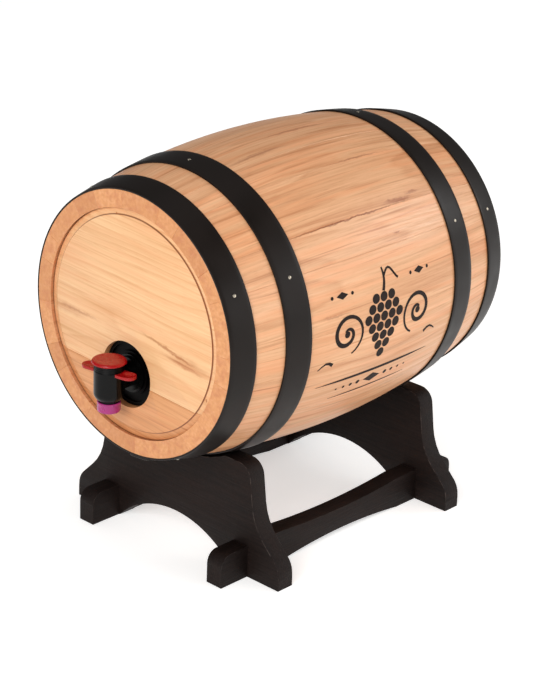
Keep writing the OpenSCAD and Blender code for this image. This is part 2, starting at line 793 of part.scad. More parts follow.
// Outline of a rail, drawn as (distance from the cask's front end, height)
module rail_outline() {
    rail_from = front_cradle_y - rail_reach;
    rail_to = rear_cradle_y + cradle_t + rail_reach;
    difference() {
        translate([rail_from, 0]) square([rail_to - rail_from, rail_h]);
        corner_sliver([rail_from, rail_h], [1, 0], [0, -1], rail_round);
        corner_sliver([rail_to, rail_h], [-1, 0], [0, -1], rail_round);
        translate([bay_mid, rail_h - rail_dip + dip_r]) circle(r = dip_r, $fn = 360);
        translate([bay_mid, rail_rise - rise_r]) circle(r = rise_r, $fn = 360);
        for (y = [front_cradle_y, rear_cradle_y])
            translate([y - halving_gap, halving_h]) square([cradle_t + 2 * halving_gap, far]);
    }
}

module rail(x) {
    color([0.08, 0.07, 0.07]) translate([x - rail_t / 2, front_y, 0])
        rotate([90, 0, 90]) linear_extrude(rail_t) rail_outline();
}

for (i = [1:stave_count])
    stave(i);
for (i = [0:3]) {
    hoop(hoops[i]);
    nails(hoops[i]);
}
front_head_upper();
front_head_lower();
tap_collar();
bag_spout();
wine_bag();
tap_body();
finger_wings();
press_button();
button_boot();
valve_stem();
valve_seal();
nozzle_cap();
rear_ring();
lid_upper();
lid_lower();
lid_battens();
batten_screws();
lid_magnets();
ring_magnets();
cradle(front_cradle_y, front_saddle_r);  // front_cradle
cradle(rear_cradle_y, rear_saddle_r);  // rear_cradle
rail(-rail_x);  // left_rail
rail(rail_x);  // right_rail
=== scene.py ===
"""A small oak cask on a black stand, made to cover a bag of wine: its finishes, detailed pieces, light and camera.

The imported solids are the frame. Lengths are written in millimetres and turned to metres where a mesh is made.
Angles are in degrees. Those round the cask count up from its right-hand side, seen from the tap.
"""

import logging
import math
import random
from contextlib import contextmanager
from dataclasses import dataclass, field
from enum import Enum
from typing import Any, Callable, Iterator, Sequence

import bmesh
import bpy
from mathutils import Matrix, Vector, noise


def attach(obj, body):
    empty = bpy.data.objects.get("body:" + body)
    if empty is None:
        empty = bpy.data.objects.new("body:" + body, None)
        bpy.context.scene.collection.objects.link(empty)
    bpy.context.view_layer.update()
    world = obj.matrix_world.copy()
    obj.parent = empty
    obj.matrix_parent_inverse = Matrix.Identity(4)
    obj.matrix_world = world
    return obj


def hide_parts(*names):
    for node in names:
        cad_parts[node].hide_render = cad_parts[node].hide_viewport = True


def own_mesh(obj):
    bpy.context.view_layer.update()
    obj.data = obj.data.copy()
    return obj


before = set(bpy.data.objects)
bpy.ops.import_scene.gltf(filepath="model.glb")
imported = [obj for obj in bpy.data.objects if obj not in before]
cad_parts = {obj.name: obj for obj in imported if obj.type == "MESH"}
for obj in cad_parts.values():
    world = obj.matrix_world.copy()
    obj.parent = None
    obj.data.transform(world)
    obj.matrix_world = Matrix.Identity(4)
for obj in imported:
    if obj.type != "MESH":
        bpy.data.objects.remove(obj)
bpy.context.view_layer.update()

Point = Sequence[float]
Pair = tuple[float, float]
Piece = bpy.types.Object
Material = bpy.types.Material
Socket = bpy.types.NodeSocket

LOG = logging.getLogger("cask")
MM = 0.001
AXIS_Z = 230.0
FRONT_Y = -163.1
ACROSS, BACKWARD, UPWARD = Vector((1, 0, 0)), Vector((0, 1, 0)), Vector((0, 0, 1))
WELD = 0.002
EASED_FROM = 28.0


# ---------------------------------------------------------------- the cask's shape

def ray(radius: float, angle: float) -> Pair:
    """The point at a radius and an angle."""
    turn = math.radians(angle)
    return radius * math.cos(turn), radius * math.sin(turn)


@dataclass(frozen=True)
class CaskShape:
    """The curve that bends every stave. Distances along the cask run from its front end."""

    length: float = 360.0
    head_r: float = 120.0
    bulge: float = 21.0
    stave_t: float = 15.5

    @property
    def bend_r(self) -> float:
        """Radius of the long arc of the staves."""
        return ((self.length / 2) ** 2 + self.bulge ** 2) / (2 * self.bulge)

    def outer(self, y: float, above: float = 0.0) -> float:
        """Radius of the wood, or of a surface that stands above it.

        Args:
            y: distance from the front end.
            above: height over the wood, measured square to it.

        Returns:
            The radius from the cask's axis.
        """
        bend = self.bend_r + above
        return self.head_r + self.bulge - self.bend_r + math.sqrt(bend ** 2 - (y - self.length / 2) ** 2)

    def inner(self, y: float) -> float:
        """Radius of the staves' inner face at a distance from the front end."""
        return self.outer(y, -self.stave_t)

    def at(self, angle: float, y: float, radius: float) -> Vector:
        """The place at an angle, a distance from the front end and a radius, in metres of the row frame."""
        x, z = ray(radius, angle)
        return Vector((x, FRONT_Y + y, AXIS_Z + z)) * MM

    def polar(self, place: Vector) -> tuple[float, float, float]:
        """The angle, distance from the front end and radius of a place in the row frame."""
        x, z = place.x / MM, place.z / MM - AXIS_Z
        return math.degrees(math.atan2(z, x)), place.y / MM - FRONT_Y, math.hypot(x, z)


CASK = CaskShape()
AXLE = Vector((0.0, FRONT_Y, AXIS_Z)) * MM
TAP = Vector((-7.0, FRONT_Y - 18.3, AXIS_Z - 48.8))
HEAD_RIM = CASK.inner(4.5) - 0.35


# ---------------------------------------------------------------- bench work

def take(*pieces: Piece) -> None:
    """Leaves edit mode, selects some pieces alone and makes the first one active.

    Args:
        pieces: what to select, or nothing.
    """
    if bpy.context.object and bpy.context.object.mode != "OBJECT":
        bpy.ops.object.mode_set(mode="OBJECT")
    bpy.ops.object.select_all(action="DESELECT")
    for piece in pieces:
        piece.select_set(True)
    if pieces:
        bpy.context.view_layer.objects.active = pieces[0]


@contextmanager
def editing(piece: Piece, pick: str = "VERT") -> Iterator[None]:
    """Edit mode on one piece, with all of it selected.

    Args:
        piece: the piece to edit.
        pick: VERT, EDGE or FACE.
    """
    take(piece)
    bpy.ops.object.mode_set(mode="EDIT")
    bpy.ops.mesh.select_mode(type=pick)
    bpy.ops.mesh.select_all(action="SELECT")
    yield
    bpy.ops.object.mode_set(mode="OBJECT")


def face_outward() -> None:
    """Turns every face of the piece in edit mode outward."""
    bpy.ops.mesh.select_all(action="SELECT")
    bpy.ops.mesh.normals_make_consistent(inside=False)


def named(name: str) -> Piece:
    """Names the piece that was just added, and puts its origin at the frame's.

    Args:
        name: its name.

    Returns:
        The piece.
    """
    piece = bpy.context.object
    piece.name = piece.data.name = name
    bpy.ops.object.transform_apply(location=True, rotation=True, scale=True)
    return piece


def drawn(name: str, points: Sequence[Vector], filled: bool = False) -> Piece:
    """A chain of edges, drawn from a single point by extruding it from place to place.

    Args:
        name: the piece's name.
        points: the places, in metres.
        filled: whether the chain is closed to a face.

    Returns:
        The piece.
    """
    take()
    bpy.ops.mesh.primitive_plane_add(size=MM, location=points[0])
    piece = named(name)
    with editing(piece):
        bpy.ops.mesh.merge(type="CENTER")
        for here, there in zip(points, points[1:]):
            bpy.ops.mesh.extrude_region_move(TRANSFORM_OT_translate={"value": there - here})
        if filled:
            bpy.ops.mesh.select_all(action="SELECT")
            bpy.ops.mesh.edge_face_add()
    return piece


def plated(name: str, outline: Sequence[Vector], way: Vector) -> Piece:
    """A plate, drawn as an outline, filled and given its thickness.

    Args:
        name: the piece's name.
        outline: the outline, in metres.
        way: the thickness, as a vector in metres.

    Returns:
        The plate.
    """
    piece = drawn(name, outline, True)
    with editing(piece, "FACE"):
        bpy.ops.mesh.extrude_region_move(TRANSFORM_OT_translate={"value": way})
        face_outward()
    return piece


def spun(piece: Piece, centre: Vector, axis: Vector, angle: float, steps: int) -> Piece:
    """Spins all of a piece round an axis and closes it.

    Args:
        piece: a chain or a face.
        centre: a point of the axis, in metres.
        axis: the axis's direction.
        angle: how far it turns.
        steps: sides of the turn.

    Returns:
        The same piece.
    """
    with editing(piece):
        bpy.ops.mesh.spin(steps=steps, angle=math.radians(angle), center=centre, axis=axis)
        bpy.ops.mesh.select_all(action="SELECT")
        bpy.ops.mesh.remove_doubles(threshold=WELD * MM)
        face_outward()
    return piece


def turned(name: str, profile: Sequence[Point], centre: Vector, axis: Vector = UPWARD, steps: int = 64,
           ring: bool = False) -> Piece:
    """A piece turned all the way round, as on a lathe.

    Args:
        name: the piece's name.
        profile: (radius, distance along the axis). It starts and ends on the axis unless it is a ring.
        centre: where the distance along the axis is 0, in metres.
        axis: the axis's direction.
        steps: sides of the turn.
        ring: whether the profile closes on itself.

    Returns:
        The piece.
    """
    places = [centre + (ACROSS * r + axis * t) * MM for r, t in profile]
    if ring:
        places.append(places[0])
    return spun(drawn(name, places), centre, axis, 360, steps)


def modified(piece: Piece, kind: str, **settings: Any) -> Piece:
    """Adds a modifier with its settings, and applies it.

    Args:
        piece: the piece to change.
        kind: the modifier's type.
        settings: its properties.

    Returns:
        The same piece.
    """
    take(piece)
    bpy.ops.object.modifier_add(type=kind)
    modifier = piece.modifiers[-1]
    for key, value in settings.items():
        setattr(modifier, key, value)
    bpy.ops.object.modifier_apply(modifier=modifier.name)
    return piece


def smoothed(piece: Piece, angle: float) -> Piece:
    """Shades a piece smooth where its faces meet at a small angle.

    Args:
        piece: the piece to shade.
        angle: greatest angle that is shaded smooth.

    Returns:
        The same piece.
    """
    take(piece)
    bpy.ops.object.shade_smooth_by_angle(angle=math.radians(angle))
    return piece


def eased(piece: Piece, width: float, segments: int = 2, smooth: float = 32.0) -> Piece:
    """Takes the sharpness off every edge and shades the piece smooth.

    Args:
        piece: the piece to ease.
        width: width of the easing.
        segments: faces across an edge.
        smooth: greatest angle that is shaded smooth.

    Returns:
        The same piece.
    """
    modified(piece, "BEVEL", width=width * MM, segments=segments, limit_method="ANGLE",
             angle_limit=math.radians(EASED_FROM), use_clamp_overlap=True)
    return smoothed(piece, smooth)


def cut(piece: Piece, cutter: Piece) -> None:
    """Cuts one piece's shape out of another and throws the cutter away."""
    modified(piece, "BOOLEAN", object=cutter, operation="DIFFERENCE", solver="EXACT")
    bpy.data.objects.remove(cutter)


def copied(piece: Piece, name: str) -> Piece:
    """A copy of a piece with its own mesh.

    Args:
        piece: what to copy.
        name: the copy's name.

    Returns:
        The copy.
    """
    twin = piece.copy()
    twin.data = piece.data.copy()
    twin.name = twin.data.name = name
    bpy.context.scene.collection.objects.link(twin)
    return twin


def moved(piece: Piece, matrix: Matrix) -> Piece:
    """Moves a piece's mesh and leaves its origin where it is.

    Args:
        piece: the piece to move.
        matrix: the move.

    Returns:
        The same piece.
    """
    piece.matrix_world = matrix
    take(piece)
    bpy.ops.object.transform_apply(location=True, rotation=True, scale=True)
    return piece


def about_axle(angle: float) -> Matrix:
    """A turn round the cask's axis, upward from its right-hand side."""
    return Matrix.Translation(AXLE) @ Matrix.Rotation(-math.radians(angle), 4, "Y") @ Matrix.Translation(-AXLE)


def joined(name: str, pieces: Sequence[Piece]) -> Piece:
    """Joins pieces into one.

    Args:
        name: the whole piece's name.
        pieces: what to join.

    Returns:
        The whole piece.
    """
    take(*pieces)
    bpy.ops.object.join()
    pieces[0].name = pieces[0].data.name = name
    return pieces[0]


def dressed(piece: Piece, body: str, finish: Material, slot: str, *nodes: str) -> Piece:
    """Gives a piece its finish and its place on a body.

    Args:
        piece: the finished mesh.
        body: the CAD body that it rides on.
        finish: its material.
        slot: the record's material slot; not used.
        nodes: CAD nodes that it stands for.

    Returns:
        The same piece.
    """
    piece.data.materials.clear()
    piece.data.materials.append(finish)
    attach(piece, body)
    if nodes:
        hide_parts(*nodes)
    LOG.info("%s: %d faces, rides on %s", piece.name, len(piece.data.polygons), body)
    return piece


def lay_grain(piece: Piece, place: Callable[[Vector], Point], tone: float, end_way: Vector,
              flat: Vector | None = None) -> None:
    """Writes where each point lies in its board, so that the grain follows the board however it is bent.

    Args:
        piece: the wooden piece.
        place: gives (across, along, depth) for a point in metres.
        tone: how dark the board is, 0 to 1.
        end_way: direction that the sawn ends face.
        flat: direction that the board's flats face, for a board whose rounded edges are worn.
    """
    mesh = piece.data
    grain = mesh.attributes.new("grain", "FLOAT_VECTOR", "POINT")
    grain.data.foreach_set("vector", [part for v in mesh.vertices for part in place(v.co)])
    look = mesh.attributes.new("look", "FLOAT_VECTOR", "FACE")
    look.data.foreach_set("vector", [
        part for face in mesh.polygons
        for part in (tone, 1.0 if abs(face.normal.dot(end_way)) > 0.7 else 0.0,
                     1.0 if flat and 0.1 < abs(face.normal.dot(flat)) < 0.99 else 0.0)])


# ---------------------------------------------------------------- finishes

def colour(code: str) -> tuple[float, float, float, float]:
    """Turns an sRGB hex value to the linear colour that a shader takes.

    Args:
        code: six hex digits.

    Returns:
        Red, green, blue and alpha.
    """
    parts = [int(code[i:i + 2], 16) / 255 for i in (0, 2, 4)]
    linear = [p / 12.92 if p <= 0.04045 else ((p + 0.055) / 1.055) ** 2.4 for p in parts]
    return (linear[0], linear[1], linear[2], 1.0)


def feed(tree: bpy.types.NodeTree, node: bpy.types.Node, inputs: dict[Any, Any]) -> None:
    """Sets a node's inputs, and links what is given as a node or a socket.

    Args:
        tree: the node tree.
        node: the node.
        inputs: input name or number to a value, a node or an output socket.
    """
    for key, value in inputs.items():
        if isinstance(value, bpy.types.Node):
            value = value.outputs[0]
        if isinstance(value, Socket):
            tree.links.new(value, node.inputs[key])
        else:
            node.inputs[key].default_value = value


def add(tree: bpy.types.NodeTree, kind: str, inputs: dict[Any, Any] | None = None, **settings: Any) -> bpy.types.Node:
    """Adds a node with its properties and inputs.

    Args:
        tree: the node tree.
        kind: the node's type without its prefix.
        inputs: input name or number to a value, a node or an output socket.
        settings: the node's properties.

    Returns:
        The node.
    """
    node = tree.nodes.new("ShaderNode" + kind)
    for key, value in settings.items():
        setattr(node, key, value)
    feed(tree, node, inputs or {})
    return node


class Surface:
    """A new material, with the kinds of node that the finishes are made of."""

    def __init__(self, name: str) -> None:
        """Adds the material.

        Args:
            name: the finish's name.
        """
        self.material = bpy.data.materials.new(name)
        self.material.use_nodes = True
        self.tree = self.material.node_tree

    def shade(self, inputs: dict[str, Any]) -> None:
        """Sets or links the inputs of the surface shader."""
        feed(self.tree, self.tree.nodes["Principled BSDF"], inputs)

    def spot(self) -> Socket:
        """The place in the row frame, in metres."""
        return add(self.tree, "TexCoord").outputs["Object"]

    def spot_mm(self) -> Socket:
        """The place in the row frame, in millimetres."""
        return self.vector("SCALE", self.spot(), Scale=1 / MM)

    def laid(self, name: str) -> Socket:
        """What lay_grain wrote under a name."""
        return add(self.tree, "Attribute", attribute_name=name).outputs["Vector"]

    def math(self, kind: str, *terms: Any, clamp: bool = False) -> Socket:
        """Arithmetic with values."""
        return add(self.tree, "Math", dict(enumerate(terms)), operation=kind, use_clamp=clamp).outputs[0]

    def vector(self, kind: str, *terms: Any, **inputs: Any) -> Socket:
        """Arithmetic with vectors. Other inputs than the terms go by their names."""
        node = add(self.tree, "VectorMath", {**dict(enumerate(terms)), **inputs}, operation=kind)
        return node.outputs["Value" if kind == "LENGTH" else "Vector"]

    def noise(self, place: Any, scale: float, detail: float = 2.0, rough: float = 0.5, part: str = "Fac") -> Socket:
        """Noise at a place: its value, or its colour as three values."""
        return add(self.tree, "TexNoise", {"Vector": place, "Scale": scale, "Detail": detail,
                                           "Roughness": rough}).outputs[part]

    def patch(self, place: Socket, across: float, along: float, detail: float = 2.0, rough: float = 0.55) -> Socket:
        """Noise stretched along the grain, with patches of these sizes in millimetres."""
        near = add(self.tree, "Mapping", {"Vector": place, "Scale": (1 / across, 1 / along, 1 / across)})
        return self.noise(near, 1.0, detail, rough)

    def swayed(self, place: Any, sway: Socket, reach: float) -> Socket:
        """A place pushed aside by a noise colour."""
        push = self.vector("SUBTRACT", sway, (0.5, 0.5, 0.5))
        return self.vector("ADD", place, self.vector("SCALE", push, Scale=reach))

    def ramp(self, factor: Socket, *stops: tuple[float, Any]) -> Socket:
        """A colour ramp.

        Args:
            factor: what is looked up in it.
            stops: each (place, colour or grey level).

        Returns:
            The colour.
        """
        node = add(self.tree, "ValToRGB", {0: factor})
        elements = node.color_ramp.elements
        for number, (place, shade) in enumerate(stops):
            stop = elements[number] if number < 2 else elements.new(place)
            stop.position = place
            stop.color = shade if isinstance(shade, tuple) else (shade, shade, shade, 1.0)
        return node.outputs[0]

    def fit(self, value: Any, low: float, high: float, start: float = 0.0, end: float = 1.0,
            **settings: Any) -> Socket:
        """A value, moved from the range (start, end) to (low, high) and held there."""
        return add(self.tree, "MapRange", {0: value, 1: start, 2: end, 3: low, 4: high}, **settings).outputs[0]

    def blend(self, share: Any, one: Any, other: Any) -> Socket:
        """Some share of the other colour over the first."""
        return add(self.tree, "Mix", {0: share, 6: one, 7: other}, data_type="RGBA").outputs[2]

    def bump(self, height: Socket, strength: float, distance: float) -> Socket:
        """A relief of a depth in millimetres."""
        return add(self.tree, "Bump", {"Strength": strength, "Distance": distance * MM, "Height": height}).outputs[0]


@dataclass(frozen=True)
class Finish:
    """A finish with its name. Each kind adds its own nodes."""

    name: str

    def make(self) -> Material:
        """Builds the material.

        Returns:
            The material.
        """
        surface = Surface(self.name)
        self.lay(surface)
        return surface.material

    def lay(self, s: Surface) -> None:
        """Adds the nodes that give the look."""
        raise NotImplementedError(self.name)


class Timber(Enum):
    """Where a wooden finish reads its place in the board from."""

    BOARD = "grain laid along the board"
    LUMP = "the piece's own place"


@dataclass(frozen=True)
class Blemish:
    """A knot or a brown streak in the wood, as a long spot that fades out, in millimetres of the row frame."""

    centre: Point
    along: Point
    face: Point
    half_length: float
    half_width: float
    depth: float
    reach_in: float = 14.0

    def mask(self, s: Surface, spot: Socket) -> Socket:
        """How strong it is at a place.

        Args:
            s: the surface.
            spot: the place in millimetres.

        Returns:
            A value from 0 to its depth.
        """
        face = Vector(self.face).normalized()
        along = Vector(self.along).normalized()
        turn = Matrix((along, face.cross(along), face)).transposed().to_euler()
        near = add(s.tree, "Mapping", {"Vector": spot, "Location": self.centre, "Rotation": turn,
                                       "Scale": (self.half_length, self.half_width, self.reach_in)},
                   vector_type="TEXTURE")
        return s.fit(s.vector("LENGTH", near), 0.0, self.depth, 1.0, 0.25, interpolation_type="SMOOTHSTEP")


@dataclass(frozen=True)
class LacqueredOak(Finish):
    """Oak, planed and sealed with satin lacquer: growth rings, open pores, brown streaks and a low sheen."""

    timber: Timber = Timber.BOARD
    pale: str = "F6CB9C"
    deep: str = "D79A66"
    warm: str = "F2A06C"
    streak: str = "B9763F"
    knot: str = "863A04"
    # Colour of the rings of painted shade.
    gap_shade: str = "7A3A10"
    end_tones: tuple[str, str, str] = ("EBAA78", "E29C62", "D48F60")
    end_red: str = "C9764C"
    end_dark: str = "B8703F"
    ring_mm: float = 3.2
    roughness: float = 0.42
    streaky: float = 0.5
    blush: float = 0.45
    blemishes: tuple[Blemish, ...] = ()
    # Rings of painted shade round the axis, each (radius, half width).
    shade_rings: tuple[Pair, ...] = ()

    def lay(self, s: Surface) -> None:
        """Adds the nodes: rings, fibre, pores and streaks on the long grain, mottling on the end grain.

        Args:
            s: the surface.
        """
        if self.timber is Timber.BOARD:
            place, look = s.laid("grain"), s.laid("look")
        else:
            place, look = s.spot_mm(), add(s.tree, "CombineXYZ", {0: 0.45})
        tone, is_end, _ = add(s.tree, "SeparateXYZ", {0: look}).outputs

        # The tree's rings: distance from a far centre, wandering along the board
        wander = add(s.tree, "Mapping", {"Vector": place, "Scale": (1 / 55, 1 / 330, 1 / 55)})
        swayed = s.swayed(place, s.noise(wander, 1.0, 2.0, 0.45, "Color"), 34.0)
        drawn_out = add(s.tree, "Mapping", {"Vector": swayed, "Scale": (1.0, 0.05, 1.0)})
        rings = add(s.tree, "TexWave", {"Vector": drawn_out, "Scale": 0.314 / self.ring_mm, "Distortion": 1.6,
                                        "Detail": 2.0, "Detail Scale": 1.2, "Detail Roughness": 0.5},
                    wave_type="RINGS", rings_direction="Y", wave_profile="SAW")
        ring_dark = s.ramp(rings.outputs["Fac"], (0.0, 0.15), (0.62, 0.42), (0.9, 1.0), (1.0, 0.15))
        broad = s.ramp(s.patch(place, 17, 210), (0.36, 0.0), (0.64, 1.0))
        blush = s.ramp(s.patch(place, 8, 130, 3.0), (0.45, 0.0), (0.68, 1.0))
        fibre = s.ramp(s.patch(place, 1.9, 70, 3.0), (0.32, 0.0), (0.68, 1.0))
        pores = s.ramp(s.patch(place, 0.75, 13), (0.57, 0.0), (0.72, 1.0))
        streaks = s.ramp(s.patch(place, 3.2, 150, 3.0), (0.56, 0.0), (0.72, 1.0))

        # How dark the wood is at a point, from all of these
        depth = s.math("MULTIPLY_ADD", tone, 0.62, 0.0)
        for factor, share in ((ring_dark, 0.30), (broad, 0.26), (fibre, 0.26), (pores, 0.18)):
            depth = s.math("MULTIPLY_ADD", factor, share, depth)
        wood = s.blend(s.math("SUBTRACT", depth, 0.27, clamp=True), colour(self.pale), colour(self.deep))
        wood = s.blend(s.math("MULTIPLY", blush, self.blush), wood, colour(self.warm))
        wood = s.blend(s.math("MULTIPLY", streaks, self.streaky), wood, colour(self.streak))

        # End grain drinks more of the lacquer: redder, mottled, ring ends and pores as dots
        end = s.ramp(s.patch(place, 3, 14, 3.0), *zip((0.3, 0.55, 0.8), map(colour, self.end_tones)))
        end = s.blend(s.ramp(s.patch(place, 9, 9, 3.0), (0.48, 0.0), (0.68, 0.5)), end, colour(self.end_red))
        end = s.blend(s.fit(tone, 0.0, 0.42, 0.38, 0.68), end, colour(self.end_dark))
        relief = s.math("MULTIPLY_ADD", pores, -0.7, fibre)
        s.shade({"Base Color": self.blemished(s, s.blend(is_end, wood, end), fibre),
                 "Roughness": s.fit(fibre, self.roughness - 0.05, self.roughness + 0.08, 0.3, 0.7),
                 "Coat Weight": 0.12, "Coat Roughness": 0.3, "Normal": s.bump(relief, 0.3, 0.06)})

    def blemished(self, s: Surface, wood: Socket, fibre: Socket) -> Socket:
        """Adds the placed streaks and knots, and rings of painted shade where the heads' step and rim gap lie in
        shadow, each (radius, half width).

        Args:
            s: the surface.
            wood: the wood's colour without them.
            fibre: the fine grain, which frays their edges.

        Returns:
            The colour with them.
        """
        spot = s.spot_mm()
        # Painted shade: a dark ring at each radius from the axis, standing for the shadow at the head's step and in
        # the gap at its rim.
        for shade_r, half in self.shade_rings:
            level = add(s.tree, "Mapping", {"Vector": spot, "Location": (0, 0, -AXIS_Z), "Scale": (1, 0, 1)})
            off = s.math("ABSOLUTE", s.math("SUBTRACT", s.vector("LENGTH", level), shade_r))
            wood = s.blend(s.fit(off, 0.75, 0.0, half, half + 0.5), wood, colour(self.gap_shade))
        if not self.blemishes:
            return wood
        frayed = s.swayed(spot, s.noise(spot, 0.11, 3.0, 0.6, "Color"), 6.0)
        total: Any = 0.0
        for blemish in self.blemishes:
            total = s.math("MAXIMUM", total, blemish.mask(s, frayed))
        share = s.math("MULTIPLY", total, s.fit(fibre, 0.55, 1.0), clamp=True)
        return s.blend(share, wood, colour(self.knot))


@dataclass(frozen=True)
class StainedPine(Finish):
    """Pine, sawn, sanded and stained black: the grain shows as a soft relief, and worn edges let the wood through."""

    dark: str = "120B09"
    grey: str = "241A17"
    worn: str = "5E5450"

    def lay(self, s: Surface) -> None:
        """Adds the nodes: fibre, clouds and grit in the stain, rubbed places on the edges.

        Args:
            s: the surface.
        """
        place = s.laid("grain")
        sizes = ((1.6, 40), (22, 60), (2.2, 2.6))
        fibre, cloud, grit = (s.patch(place, across, along, 3.0, 0.6) for across, along in sizes)
        amount = s.math("MULTIPLY_ADD", fibre, 0.55, s.math("MULTIPLY", cloud, 0.65))
        amount = s.math("MULTIPLY_ADD", grit, 0.35, amount)
        stain = s.ramp(amount, (0.58, colour(self.dark)), (0.98, colour(self.grey)))
        edge = add(s.tree, "SeparateXYZ", {0: s.laid("look")}).outputs[2]
        rubbed = s.fit(s.noise(place, 0.16, 4.0), 0.0, 0.9, 0.42, 0.7)
        s.shade({"Base Color": s.blend(s.math("MULTIPLY", edge, rubbed, clamp=True), stain, colour(self.worn)),
                 "Roughness": s.fit(cloud, 0.5, 0.66, 0.3, 0.7), "Specular IOR Level": 0.14,
                 "Normal": s.bump(s.math("MULTIPLY_ADD", grit, 0.4, fibre), 0.8, 0.45)})


@dataclass(frozen=True)
class PaintedSteel(Finish):
    """Cold-rolled steel strip, painted black: a satin film with faint rolling lines and a slight orange peel."""

    base: str = "140D09"
    light: str = "1B130F"
    roughness: float = 0.4

    def lay(self, s: Surface) -> None:
        """Adds the nodes: a faint cloud in the paint, and its peel.

        Args:
            s: the surface.
        """
        spot = s.spot()
        cloud = s.noise(spot, 26.0, 3.0)
        s.shade({"Base Color": s.ramp(cloud, (0.3, colour(self.base)), (0.75, colour(self.light))),
                 "Roughness": s.fit(cloud, self.roughness - 0.04, self.roughness + 0.1, 0.3, 0.7),
                 "Specular IOR Level": 0.2, "Normal": s.bump(s.noise(spot, 900.0), 0.25, 0.04)})


@dataclass(frozen=True)
class BrightMetal(Finish):
    """Bare metal, drawn or plated: zinc on nails and screws, nickel on magnets."""

    base: str
    roughness: float
    dull: str = "8C857A"

    def lay(self, s: Surface) -> None:
        """Adds the nodes: duller specks, which are rougher too.

        Args:
            s: the surface.
        """
        cloud = s.noise(s.spot(), 700.0)
        s.shade({"Base Color": s.ramp(cloud, (0.3, colour(self.dull)), (0.7, colour(self.base))),
                 "Roughness": s.fit(cloud, self.roughness - 0.08, self.roughness + 0.1), "Metallic": 1.0})


@dataclass(frozen=True)
class MouldedPlastic(Finish):
    """Injection-moulded plastic: an even body colour, a smooth skin with a faint texture, small handling marks."""

    base: str
    light: str
    roughness: float
    see_through: float = 0.0
    glow: float = 0.0
    shine: float = 0.5

    def lay(self, s: Surface) -> None:
        """Adds the nodes: a slight cloud in the colour and the gloss, and the mould's texture.

        Args:
            s: the surface.
        """
        spot = s.spot()
        cloud = s.noise(spot, 160.0, 3.0)
        s.shade({"Base Color": s.ramp(cloud, (0.3, colour(self.base)), (0.8, colour(self.light))),
                 "Roughness": s.fit(cloud, self.roughness - 0.05, self.roughness + 0.07, 0.3, 0.7),
                 "IOR": 1.49, "Specular IOR Level": self.shine, "Transmission Weight": self.see_through,
                 "Normal": s.bump(s.noise(spot, 2600.0), 0.15, 0.02)})
        if self.glow:
            s.shade({"Subsurface Weight": self.glow, "Subsurface Radius": (1.0, 0.35, 0.5),
                     "Subsurface Scale": 2.0 * MM})


@dataclass(frozen=True)
class BagFilm(Finish):
    """Metallised polyester film, laminated and welded: silvery, wrinkled, with sharp soft-edged glints."""

    # Colours for the hollows and the crests of the creases: painted shade and painted light.
    dark: str = "9C9EA3"
    light: str = "C9CBD0"

    def lay(self, s: Surface) -> None:
        """Adds the nodes: creases in the gloss and the relief, and painted shade in the colour, darker in the hollows
        of the creases and lighter on their crests.

        Args:
            s: the surface.
        """
        crease_and_shade = add(s.tree, "TexNoise", {"Vector": s.spot(), "Scale": 30.0, "Detail": 5.0, "Roughness": 0.6,
                                          "Distortion": 1.5}).outputs["Fac"]
        # Painted shade: the colour darkens where the crease relief is low and lightens where it is high.
        s.shade({"Base Color": s.ramp(crease_and_shade, (0.3, colour(self.dark)), (0.7, colour(self.light))),
                 "Roughness": s.fit(crease_and_shade, 0.22, 0.4), "Metallic": 0.85, "Normal": s.bump(crease_and_shade, 0.7, 2.5)})


@dataclass(frozen=True)
class BurntMark(Finish):
    """A mark burnt and inked into oak: nearly black brown, the grain still showing through where it is thin."""

    tones: tuple[str, str, str] = ("180D08", "24130C", "5A3520")

    def lay(self, s: Surface) -> None:
        """Adds the nodes: thin places along the grain.

        Args:
            s: the surface.
        """
        near = add(s.tree, "Mapping", {"Vector": s.spot(), "Scale": (700.0, 26.0, 700.0)})
        thin = s.noise(near, 1.0, 3.0, 0.7)
        s.shade({"Base Color": s.ramp(thin, *zip((0.4, 0.66, 0.85), map(colour, self.tones))),
                 "Roughness": 0.6, "Specular IOR Level": 0.2})


def on_stave(angle: float, y: float, *spread: float) -> Blemish:
    """A blemish on the staves.

    Args:
        angle: where its middle is, round the cask.
        y: where it is along the cask.
        spread: its half length, half width and depth.

    Returns:
        The blemish.
    """
    out_x, out_z = ray(1.0, angle)
    return Blemish(CASK.at(angle, y, CASK.outer(y)) / MM, BACKWARD, (out_x, 0, out_z), *spread)


def on_head(x: float, z: float, fall: Pair, *spread: float) -> Blemish:
    """A blemish on the front head.

    Args:
        x: where its middle is across the head.
        z: its height.
        fall: its direction, across and up.
        spread: its half length, half width and depth.

    Returns:
        The blemish.
    """
    return Blemish((x, FRONT_Y, z), (fall[0], 0, fall[1]), (0, -1, 0), *spread)


STAVE_BLEMISHES = tuple(on_stave(*row) for row in (
    (39.8, 150, 92, 1.3, 0.95), (41.0, 222, 26, 3.4, 0.75), (42.5, 246, 14, 1.8, 0.6),
    (62.0, 210, 40, 1.6, 0.45), (78.0, 120, 46, 3.2, 0.5), (86.0, 190, 60, 2.4, 0.45),
    (30.0, 205, 5, 1.4, 0.7), (8.0, 112, 22, 1.8, 0.4), (-32.0, 215, 36, 2.2, 0.35)))
ALONG_BOARD = (0.998, -0.055)
BOARD_BLEMISHES = tuple(on_head(*row) for row in (
    (-72.0, 222.4, ALONG_BOARD, 36, 2.6, 0.85), (-84.0, 221.0, ALONG_BOARD, 34, 7.0, 0.4),
    (49.0, 219.6, (0.983, -0.184), 52, 2.4, 0.85), (66.0, 211.4, (0.99, -0.14), 34, 3.4, 0.85),
    (74.0, 213.4, (0.985, -0.17), 36, 8.0, 0.42), (-22.0, 326.0, ALONG_BOARD, 2.4, 1.2, 0.95),
    (90.0, 188.0, ALONG_BOARD, 1.6, 2.4, 0.95)))
